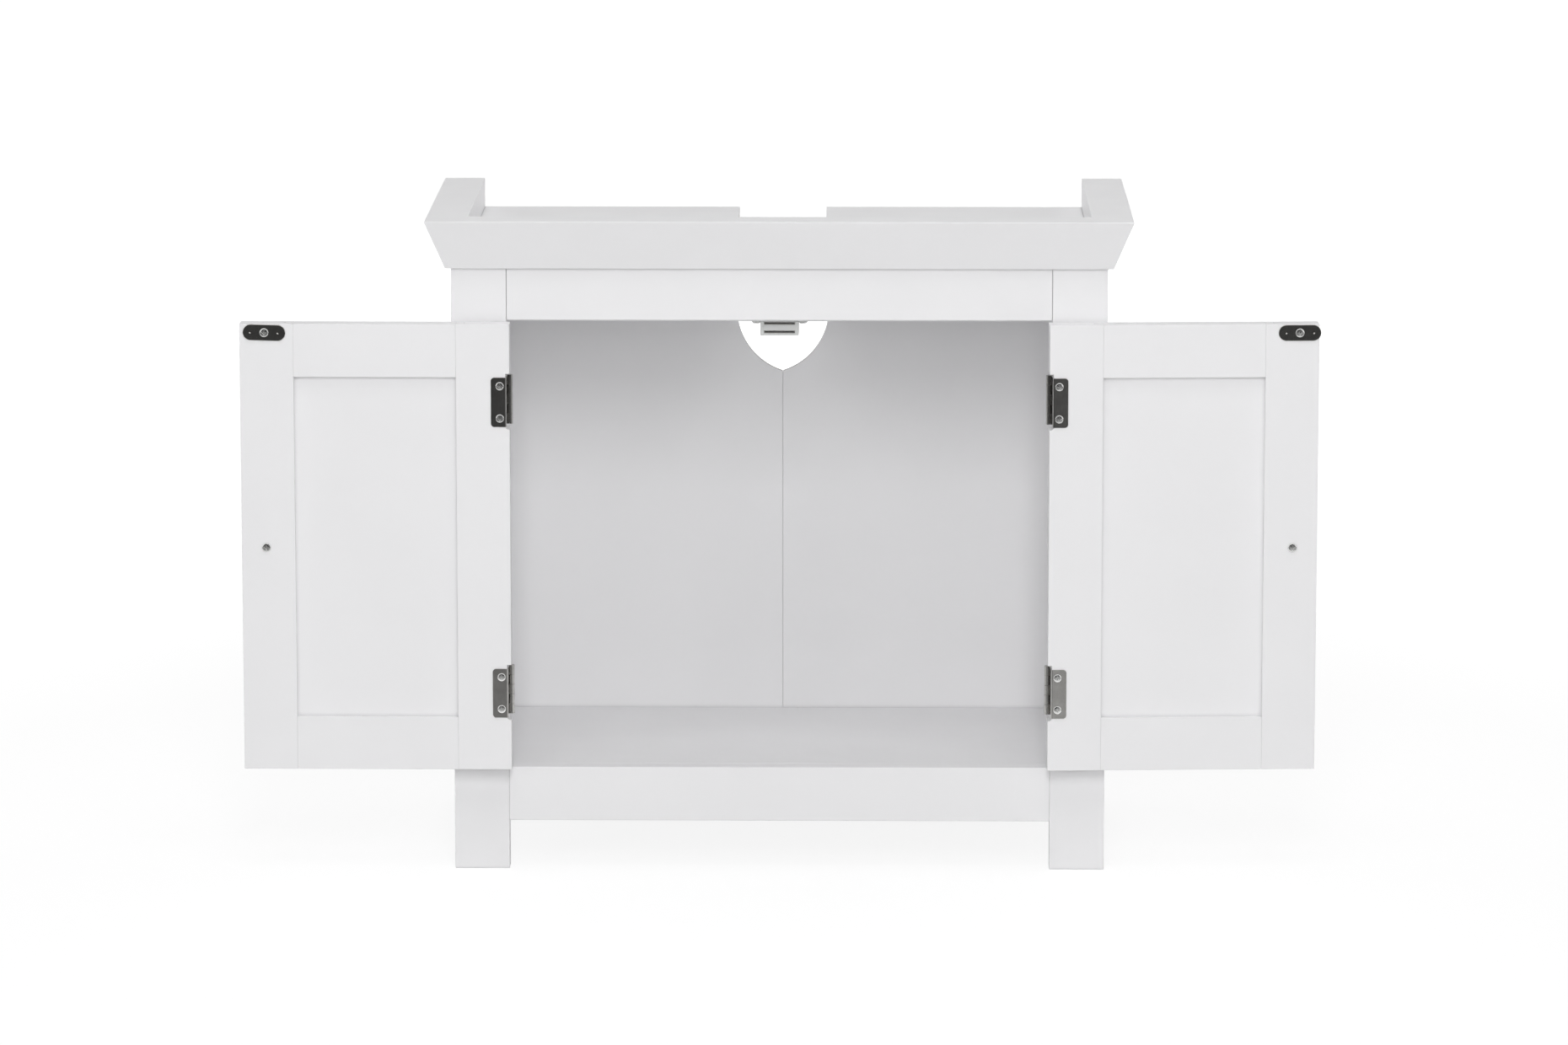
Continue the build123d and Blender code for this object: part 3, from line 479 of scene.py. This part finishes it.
def bent_sheet(path, rows, present):
    """Sheet metal along a path of (middle point, face normal) seen from above.

    rows(k) gives the heights at point k, and present(k, row) whether there is metal beyond it."""
    bm = bmesh.new()
    sides = []
    for lift in (LEAF_THICKNESS / 2, -LEAF_THICKNESS / 2):
        sides.append([[bm.verts.new((*(spot + lift * normal), z)) for z in rows(k)]
                      for k, (spot, normal) in enumerate(path)])
    cells = {(k, row) for k in range(len(path) - 1) for row in range(len(rows(k)) - 1)
             if present(k, row)}
    for k, row in cells:
        corners = [(k, row), (k + 1, row), (k + 1, row + 1), (k, row + 1)]
        for side in sides:
            bm.faces.new([side[a][b] for a, b in corners])
        beyond = [(k, row - 1), (k + 1, row), (k, row + 1), (k - 1, row)]
        for neighbour, start, end in zip(beyond, corners, corners[1:] + corners[:1]):
            if neighbour not in cells:
                bm.faces.new([sides[0][start[0]][start[1]], sides[0][end[0]][end[1]],
                              sides[1][end[0]][end[1]], sides[1][start[0]][start[1]]])
    bmesh.ops.delete(bm, geom=[v for v in bm.verts if not v.link_faces], context="VERTS")
    bmesh.ops.recalc_face_normals(bm, faces=bm.faces)
    sharp = [e for e in bm.edges if e.calc_face_angle(0) > SHEET_EDGE]
    bmesh.ops.bevel(bm, geom=sharp, offset=SHEET_RIM, segments=3, affect="EDGES", profile=0.5,
                    clamp_overlap=True)
    return bm


def carved(body, tools, operation="DIFFERENCE"):
    """The body with each tool cut out of it, or joined to it."""
    scene = bpy.context.scene.collection.objects
    made = []
    for bm in (body, *tools):
        mesh = bpy.data.meshes.new("work")
        bm.to_mesh(mesh)
        made.append(bpy.data.objects.new("work", mesh))
        scene.link(made[-1])
    for tool in made[1:]:
        cut = made[0].modifiers.new("cut", "BOOLEAN")
        cut.operation, cut.solver, cut.object = operation, "EXACT", tool
    result = bmesh.new()
    result.from_mesh(made[0].evaluated_get(bpy.context.evaluated_depsgraph_get()).to_mesh())
    for obj in made:
        mesh = obj.data
        bpy.data.objects.remove(obj)
        bpy.data.meshes.remove(mesh)
    return result


def copies(bm, places):
    """One mesh with a copy of bm at every place."""
    mesh, gathered = bpy.data.meshes.new("work"), bmesh.new()
    bm.to_mesh(mesh)
    for place in places:
        before = len(gathered.verts)
        gathered.from_mesh(mesh)
        gathered.verts.ensure_lookup_table()
        bmesh.ops.transform(gathered, matrix=place, verts=gathered.verts[before:])
        if place.determinant() < 0:
            mirrored = {f for v in gathered.verts[before:] for f in v.link_faces}
            bmesh.ops.reverse_faces(gathered, faces=list(mirrored))
    bpy.data.meshes.remove(mesh)
    return gathered


def piece(node, bm):
    """The finished mesh as an object that stands for a CAD node, on its body and in its finish."""
    mesh = bpy.data.meshes.new(node)
    bm.to_mesh(mesh)
    mesh.shade_smooth()
    mesh.set_sharp_from_angle(angle=SHARP_ANGLE)
    record = frame["record"]
    slot = next(part["material_slot"] for part in record["subparts"] if part["node"] == node)
    body = next(name for name, nodes in record["behaviour"]["bodies"].items() if node in nodes)
    mesh.materials.append(MATERIALS[slot])
    obj = bpy.data.objects.new(f"fine_{node}", mesh)
    bpy.context.scene.collection.objects.link(obj)
    obj.modifiers.new("flat_faces_first", "WEIGHTED_NORMAL").keep_sharp = True
    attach(obj, body)
    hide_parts(node)


# ---- where the doors are ----------------------------------------------------------------------------
MIRROR = Matrix.Scale(-1, 4, (1, 0, 0))
HINGES = {joint["child"]: joint for joint in frame["joints"]}
AXIS = Vector(HINGES["door_right"]["pos_m"][:2])      # of the right-hand door, seen from above


def on_side(side):
    """From the right-hand half to the half of this side."""
    return MIRROR if side == "left" else Matrix.Identity(4)


def swung(side):
    """From a shut right-hand door to this side's door at rest; its joint's low end is shut."""
    opened = Matrix.Rotation(math.radians(-HINGES[f"door_{side}"]["range_deg"][0]), 4, "Z")
    axis = Matrix.Translation((*AXIS, 0))
    return on_side(side) @ axis @ opened @ axis.inverted()


def shut_box(node, side):
    """Corners of a door's CAD node when it is turned back into a shut right-hand door."""
    back = swung(side).inverted()
    spots = [back @ vertex.co for vertex in frame["nodes"][node].data.vertices]
    return [Vector([pick(spot[i] for spot in spots) for i in range(3)]) for pick in (min, max)]


def on_door(side, spot, outwards):
    """Placement on a face of this side's door at rest; spot is on a shut right-hand door."""
    return swung(side) @ facing(spot, outwards, (1, 0, 0))


# ---- screws ------------------------------------------------------------------------------------------
def recess_tools(head, height):
    """Cutters for the cross that a screwdriver turns, with a conical bottom, in a head this high."""
    cross = tapered_cross(head)
    depth = RECESS_CONE * head
    cone = lathe([(0, RECESS_TOP), (depth + RECESS_TOP, RECESS_TOP), (0, -depth)], RECESS_SIDES)
    for tool in (cross, cone):
        bmesh.ops.translate(tool, vec=(0, 0, height), verts=tool.verts)
    return [cross, cone]


def tapered_cross(head):
    """The four wings of a recess."""
    bm = bmesh.new()
    rings = []
    for z, wing in zip((RECESS_TOP, RECESS_FLOOR), RECESS_WING):
        reach, half = (share * head for share in wing)
        arm = [(reach, -half), (reach, half), (half, half)]
        spots = [Matrix.Rotation(turn * math.pi / 2, 2) @ Vector(spot) for turn in range(4) for spot in arm]
        rings.append([bm.verts.new((*spot, z)) for spot in spots])
    upper, lower = rings
    for i in range(len(upper)):
        j = (i + 1) % len(upper)
        bm.faces.new((upper[i], upper[j], lower[j], lower[i]))
    bm.faces.new(upper)
    bm.faces.new(lower)
    bmesh.ops.recalc_face_normals(bm, faces=bm.faces)
    return bm


def threaded(shank, start, length):
    """Profile of a threaded shank with a point, from a depth below the surface down."""
    profile = [(shank, -start)]
    depth = start + THREAD_PITCH
    while depth < length - SCREW_POINT:
        profile += [(shank - THREAD_DEPTH, -depth), (shank, -depth - THREAD_PITCH / 2)]
        depth += THREAD_PITCH
    return profile + [(shank - THREAD_DEPTH, -depth), (0, -length)]


def countersunk_screw(head, shank, length):
    """Screw whose slightly domed head lies level with the surface."""
    dome = [(head * share, height * MM) for share, height in HEAD_DOME]
    cone_end = head - shank - dome[-1][1]
    solid = lathe(dome + threaded(shank, cone_end, length))
    return carved(solid, recess_tools(head, DOME_RECESS_HEIGHT))


def pan_screw(head, shank, length, height):
    """Screw with a rounded head on top of the surface."""
    widen, steepen = PAN_ROUNDING
    turns = [math.pi / 2 * step / PAN_STEPS for step in range(PAN_STEPS)]
    dome = [(head * math.sin(turn) ** widen, height * math.cos(turn) ** steepen) for turn in turns]
    dome += [(head, PAN_RIM_HEIGHT * height), (PAN_FOOT * head, 0)]
    return carved(lathe(dome + threaded(shank, PAN_NECK, length)), recess_tools(head, height))


# ---- hinges ------------------------------------------------------------------------------------------
def leaf_rows(height, own):
    """Heights between the knuckles; own says which of the five belong to this leaf."""
    length = height / KNUCKLE_COUNT
    rows = [-height / 2]
    for i in range(1, KNUCKLE_COUNT):
        meets_own = i % 2 == own        # the knuckle above this boundary is this leaf's
        rows.append(-height / 2 + i * length + (KNUCKLE_GAP if meets_own else -KNUCKLE_GAP) / 2)
    return rows + [height / 2]


def arc(centre, radius, start, sweep, inwards, steps):
    """Points of a bend with the normal of the face that the path follows."""
    spots = []
    for step in range(steps + 1):
        turn = start + sweep * step / steps
        ray = Vector((math.cos(turn), math.sin(turn)))
        spots.append((Vector(centre) + radius * ray, -ray if inwards else ray))
    return spots


def hinge_leaf(path, height, own, holes):
    """Leaf with a rounded free end, knuckles rolled round the axis and countersunk holes."""
    start, normal = path[0]
    along = (path[1][0] - start).normalized()
    turns = [math.pi / 2 * step / LEAF_CORNER_STEPS for step in range(LEAF_CORNER_STEPS)]
    corner = [(start + LEAF_CORNER * (1 - math.cos(turn)) * along, normal) for turn in turns]
    path = corner + [(start + LEAF_CORNER * along, normal)] + path[1:]
    levels = leaf_rows(height, own)
    web_end = next(k for k, (spot, _) in enumerate(path) if abs(spot.y - AXIS.y - WEB_END) < SAME_SPOT)

    def rows(k):
        """Heights of the sheet at this point of its path, less where the free corners are round."""
        if k >= LEAF_CORNER_STEPS:
            return levels
        half = height / 2 - LEAF_CORNER * (1 - math.sin(turns[k]))
        return [-half] + levels[1:-1] + [half]

    sheet = bent_sheet(path, rows, lambda k, row: k < web_end or row % 2 == own)
    return carved(sheet, holes)


def screw_hole(place):
    """Cutter for a countersunk hole through a leaf."""
    head = LEAF_SCREW["head"] + HOLE_PLAY
    below = 2 * LEAF_THICKNESS
    hole = lathe([(0, HOLE_PAST), (head + HOLE_PAST, HOLE_PAST), (head - below, -below), (0, -below)])
    hole.transform(place)
    return hole


def curl(start, turn_sign):
    """The rolled end of a leaf, from where it meets the barrel."""
    radius = KNUCKLE_RADIUS - LEAF_THICKNESS / 2
    return arc(AXIS, radius, start, turn_sign * KNUCKLE_CURL, inwards=True, steps=CURL_STEPS)


def door_leaf(screws):
    """Door half of a hinge about z = 0: the wrap on the inner face, the web and the knuckles."""
    low, high = shut_box("door_right_leaf_upper", "right")
    web = AXIS.x - KNUCKLE_RADIUS + LEAF_THICKNESS / 2
    face = high.y - LEAF_THICKNESS / 2
    bend = (web + LEAF_THICKNESS / 2 - LEAF_BEND, high.y - LEAF_BEND)
    path = [(Vector((low.x, face)), Vector((0, 1)))]
    path += arc(bend, LEAF_BEND - LEAF_THICKNESS / 2, start=math.pi / 2, sweep=-math.pi / 2,
                inwards=False, steps=BEND_STEPS)
    path += [(Vector((web, AXIS.y + WEB_END)), Vector((1, 0)))] + curl(start=math.pi, turn_sign=1)
    return hinge_leaf(path, high.z - low.z, own=1, holes=[screw_hole(place) for place in screws])


def frame_leaf(screws):
    """Carcass half of a hinge about z = 0, flat on the inner edge of the stile."""
    low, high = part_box("frame_leaf_right_upper")
    middle_x = STILE_INNER - LEAF_THICKNESS / 2
    path = [(Vector((middle_x, y)), Vector((-1, 0))) for y in (high.y, AXIS.y + WEB_END)]
    path += curl(start=0, turn_sign=-1)
    return hinge_leaf(path, high.z - low.z, own=0, holes=[screw_hole(place) for place in screws])


def hinges():
    """Leaves, screws and pins of the four hinges."""
    leaf_low, leaf_high = shut_box("door_right_leaf_upper", "right")
    door_screw_x = AXIS.x - KNUCKLE_RADIUS + LEAF_THICKNESS - LEAF_SCREW_INSET
    stile_low, stile_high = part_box("front_stile_right")
    stile_middle = (stile_low.y + stile_high.y) / 2
    heights = (-LEAF_SCREW_SPACING / 2, LEAF_SCREW_SPACING / 2)
    frame_screw_x = STILE_INNER - LEAF_THICKNESS
    on_wrap = [facing((door_screw_x, leaf_high.y, z), (0, 1, 0), (1, 0, 0)) for z in heights]
    on_edge = [facing((frame_screw_x, stile_middle, z), (-1, 0, 0), (0, 1, 0)) for z in heights]
    leaves = {"door": door_leaf(on_wrap), "frame": frame_leaf(on_edge)}
    screw = countersunk_screw(**LEAF_SCREW)
    half = (leaf_high.z - leaf_low.z) / 2
    flat, chamfer = PIN_END
    end = [(0, half), (flat * PIN_RADIUS, half), (PIN_RADIUS, half - chamfer)]
    pin = lathe(end + [(radius, -z) for radius, z in reversed(end)])
    pins, frame_screws = [], []
    for side in SIDES:
        door_screws = []
        for level in ("upper", "lower"):
            node = f"frame_leaf_{side}_{level}"
            low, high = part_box(node)
            lift = Matrix.Translation((0, 0, (low.z + high.z) / 2))
            piece(f"door_{side}_leaf_{level}", copies(leaves["door"], [swung(side) @ lift]))
            piece(node, copies(leaves["frame"], [on_side(side) @ lift]))
            door_screws += [swung(side) @ lift @ place for place in on_wrap]
            frame_screws += [on_side(side) @ lift @ place for place in on_edge]
            pins.append(on_side(side) @ lift @ Matrix.Translation((*AXIS, 0)))
        piece(f"door_{side}_leaf_screws", copies(screw, door_screws))
    piece("frame_leaf_screws", copies(screw, frame_screws))
    piece("hinge_pins", copies(pin, pins))


# ---- catch and knobs -----------------------------------------------------------------------------------
def strikes():
    """Round-ended strike plates, each with two pips and a screw."""
    length, height, thickness = STRIKE_SIZE
    blank = plate(stadium(length, height), thickness, STRIKE_RIM)
    head = STRIKE_SCREW["head"] + HOLE_PLAY
    above = thickness + PAST
    tools = [lathe([(0, above), (head + PAST, above), (head - thickness, 0), (head - thickness, -PAST),
                    (0, -PAST)])]
    bottom, mouth, over = PIP_RADII
    pip_middle, pip_edge = PIP_BOTTOM
    for sign in SIDES.values():
        pip = lathe([(0, above), (over, above), (mouth, thickness), (bottom, pip_edge),
                     (0, pip_middle)], PIP_SIDES)
        bmesh.ops.translate(pip, vec=(sign * PIP_OFFSET, 0, 0), verts=pip.verts)
        tools.append(pip)
    blank = carved(blank, tools)
    screw = countersunk_screw(**STRIKE_SCREW)
    for side, tilt in STRIKE_TILT.items():
        low, high = shut_box(f"door_{side}_strike_plate", side)
        centre = (low + high) / 2
        place = on_door(side, (centre.x, low.y, centre.z), (0, 1, 0)) @ Matrix.Rotation(tilt, 4, "Z")
        screw_lift = Matrix.Translation((0, 0, high.y - low.y + STRIKE_SCREW_PROUD))
        piece(f"door_{side}_strike_plate", copies(blank, [place]))
        piece(f"door_{side}_strike_screw", copies(screw, [place @ screw_lift]))


def knobs():
    """Turned knobs on the outer faces, each with the screw that holds it from the inside."""
    knob = lathe([(radius * MM, height * MM) for radius, height in flowing(KNOB_PROFILE)], KNOB_SIDES)
    screw = pan_screw(**KNOB_SCREW)
    for side in SIDES:
        low, high = shut_box(f"door_{side}_knob", side)
        centre = (low + high) / 2
        outside = on_door(side, (centre.x, high.y, centre.z), (0, -1, 0))
        inner_face = shut_box(f"door_{side}_free_stile", side)[1].y
        inside = on_door(side, (centre.x, inner_face, centre.z), (0, 1, 0))
        piece(f"door_{side}_knob", copies(knob, [outside]))
        piece(f"door_{side}_knob_screw", copies(screw, [inside]))


def catch():
    """Moulded housing with a flange, slots for the pole plates and an open rear."""
    low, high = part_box("catch_housing")
    pole_low, pole_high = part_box("catch_pole_plates")
    thickness, depth, corner = CATCH_FLANGE
    body = rounded_block((-CATCH_HALF_WIDTH, low.y, low.z), (CATCH_HALF_WIDTH, high.y, high.z),
                         CATCH_ROUNDING)
    flange = plate(rounded_rectangle(high.x - low.x, depth, corner), thickness, CATCH_FLANGE_RIM)
    flange.transform(facing((0, (low.y + high.y) / 2, high.z), (0, 0, -1), (1, 0, 0)))
    housing = carved(body, [flange], "UNION")
    levels = [(pole_low.z, pole_low.z + POLE_THICKNESS), (pole_high.z - POLE_THICKNESS, pole_high.z)]

    def opening(front, rear, bottom, top):
        """Cutter as wide as the pole plates, with play round it."""
        play = Vector((POLE_PLAY, 0, POLE_PLAY))
        return rounded_block(Vector((pole_low.x, front, bottom)) - play,
                             Vector((pole_high.x, rear, top)) + play)

    tools = [opening(low.y + CATCH_FRONT_WALL, high.y + CATCH_FRONT_WALL, pole_low.z, pole_high.z)]
    poles = []
    for bottom, top in levels:
        tools.append(opening(low.y - CATCH_FRONT_WALL, high.y, bottom, top))
        poles.append(rounded_block((pole_low.x, pole_low.y, bottom), (pole_high.x, pole_high.y, top),
                                   POLE_RIM))
    piece("catch_housing", carved(housing, tools))
    piece("catch_pole_plates", carved(poles[0], poles[1:], "UNION"))


def catch_screws():
    """The two screws up through the flange of the catch."""
    low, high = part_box("catch_screws")
    head, height = CATCH_SCREW["head"], CATCH_SCREW["height"]
    y = (low.y + high.y) / 2
    places = [facing((x, y, low.z + height), (0, 0, -1), (1, 0, 0)) for x in (low.x + head, high.x - head)]
    piece("catch_screws", copies(pan_screw(**CATCH_SCREW), places))


# ---- stage, light and camera --------------------------------------------------------------------
def whiter_far_away(tree):
    """Emission that is full white far from the cabinet and leaves room for its shadow near it."""
    place = tree.nodes.new("ShaderNodeTexCoord")
    distance = tree.nodes.new("ShaderNodeVectorMath")
    distance.operation = "LENGTH"
    strength = tree.nodes.new("ShaderNodeMapRange")
    sockets = ("From Min", "From Max", "To Min", "To Max")
    for socket, value in zip(sockets, (*SHADOW_REACH, *FLOOR_GLOW)):
        strength.inputs[socket].default_value = value
    glow = tree.nodes.new("ShaderNodeEmission")
    tree.links.new(place.outputs["Object"], distance.inputs[0])
    tree.links.new(distance.outputs["Value"], strength.inputs["Value"])
    tree.links.new(strength.outputs["Result"], glow.inputs["Strength"])
    return glow.outputs["Emission"]


def seen_directly(tree):
    """1 for camera, glossy and transmission rays, which see the pale background."""
    path = tree.nodes.new("ShaderNodeLightPath")
    total = path.outputs["Is Camera Ray"]
    for name in ("Is Glossy Ray", "Is Transmission Ray"):
        add = tree.nodes.new("ShaderNodeMath")
        add.operation = "ADD"
        add.use_clamp = True
        tree.links.new(total, add.inputs[0])
        tree.links.new(path.outputs[name], add.inputs[1])
        total = add.outputs[0]
    return total


def floor():
    """Pale studio floor: white where it is lit, with the cabinet's soft shadow."""
    corners = [(FLOOR_HALF * x, FLOOR_HALF * y, 0) for x, y in ((-1, -1), (1, -1), (1, 1), (-1, 1))]
    mesh = bpy.data.meshes.new("studio_floor")
    mesh.from_pydata(corners, [], [(0, 1, 2, 3)])
    ground = bpy.data.objects.new("studio_floor", mesh)
    bpy.context.scene.collection.objects.link(ground)
    ground.location.z = -FLOOR_DROP
    material = bpy.data.materials.new("studio_floor")
    material.use_nodes = True
    tree = material.node_tree
    tree.nodes.clear()
    lit = tree.nodes.new("ShaderNodeBsdfDiffuse")
    lit.inputs["Color"].default_value = FLOOR_LIGHTING
    shown = tree.nodes.new("ShaderNodeBsdfDiffuse")
    shown.inputs["Color"].default_value = FLOOR_SHOWN
    lifted = tree.nodes.new("ShaderNodeAddShader")
    tree.links.new(shown.outputs[0], lifted.inputs[0])
    tree.links.new(whiter_far_away(tree), lifted.inputs[1])
    mix = tree.nodes.new("ShaderNodeMixShader")
    tree.links.new(seen_directly(tree), mix.inputs["Fac"])
    tree.links.new(lit.outputs[0], mix.inputs[1])
    tree.links.new(lifted.outputs[0], mix.inputs[2])
    out = tree.nodes.new("ShaderNodeOutputMaterial")
    tree.links.new(mix.outputs[0], out.inputs["Surface"])
    mesh.materials.append(material)


def reflection_cards():
    """Grey floor near by and a dark room behind the camera, for what polished metal mirrors."""
    near, far = CARD_DEPTHS
    corners = [(side * CARD_HALF, y, z) for side, y, z in (
        (-1, near, CARD_LIFT), (1, near, CARD_LIFT), (1, far, CARD_LIFT), (-1, far, CARD_LIFT),
        (1, far, CARD_CEILING), (-1, far, CARD_CEILING))]
    mesh = bpy.data.meshes.new("reflection_cards")
    mesh.from_pydata(corners, [], [(0, 1, 2, 3), (3, 2, 4, 5)])
    cards = bpy.data.objects.new("reflection_cards", mesh)
    bpy.context.scene.collection.objects.link(cards)
    shader = Shader("reflection_cards", Roughness=0.9)
    spot = shader.node("ShaderNodeSeparateXYZ", {"Vector": shader.place}).outputs
    nearness = shader.ramp(spot["Y"], 0.0, 1.0, *CARD_FADE)
    lit_strip = shader.product(shader.ramp(spot["X"], 0.0, 1.0, *STRIP_START),
                               shader.ramp(spot["X"], 1.0, 0.0, *STRIP_END))
    greys = [shader.colour(nearness, (dark,) * 3, (light,) * 3, 0.0, 1.0)
             for dark, light in (CARD_GREYS, STRIP_GREYS)]
    shader.set(Base_Color=shader.mix(lit_strip, *greys))
    mesh.materials.append(shader.material)
    for ray in ("camera", "diffuse", "transmission", "volume_scatter", "shadow"):
        setattr(cards, f"visible_{ray}", False)


def world():
    """Even studio surroundings, white where they are seen."""
    sky = bpy.data.worlds.new("studio")
    bpy.context.scene.world = sky
    sky.use_nodes = True
    tree = sky.node_tree
    background = tree.nodes["Background"]
    strength = tree.nodes.new("ShaderNodeMapRange")
    strength.inputs["To Min"].default_value = WORLD_STRENGTH
    strength.inputs["To Max"].default_value = 1.0
    tree.links.new(seen_directly(tree), strength.inputs["Value"])
    background.inputs["Color"].default_value = (1, 1, 1, 1)
    tree.links.new(strength.outputs[0], background.inputs["Strength"])


def softbox(name, place, size, power):
    """Rectangular lamp that is aimed at the cabinet and isn't mirrored in metal."""
    light = bpy.data.lights.new(name, "AREA")
    light.shape = "RECTANGLE"
    light.size, light.size_y = size
    light.energy = power
    lamp = bpy.data.objects.new(name, light)
    bpy.context.scene.collection.objects.link(lamp)
    lamp.location = place
    lamp.visible_camera = False
    lamp.visible_glossy = False
    lamp.rotation_mode = "QUATERNION"
    lamp.rotation_quaternion = (Vector(SOFTBOX_AIM) - Vector(place)).to_track_quat("-Z", "Y")


def camera():
    """The photograph's camera, but without its shifted lens."""
    data = bpy.data.cameras.new("camera")
    data.sensor_width = 36.0
    data.lens = FOCAL_PIXELS * data.sensor_width / IMAGE_WIDTH
    data.clip_start, data.clip_end = 0.1, 100.0
    view = bpy.data.objects.new("camera", data)
    bpy.context.scene.collection.objects.link(view)
    view.location = CAMERA_PLACE
    view.rotation_euler = (math.pi / 2 - CAMERA_PITCH, 0, -CAMERA_YAW)
    bpy.context.scene.camera = view


# ---- build -----------------------------------------------------------------------------------------
dress_cad_nodes()
hinges()
strikes()
knobs()
catch()
catch_screws()
floor()
world()
for lamp_name, (lamp_place, lamp_size, lamp_power) in SOFTBOXES.items():
    softbox(lamp_name, lamp_place, lamp_size, lamp_power)
reflection_cards()
camera()
bpy.context.scene.view_settings.view_transform = "Standard"
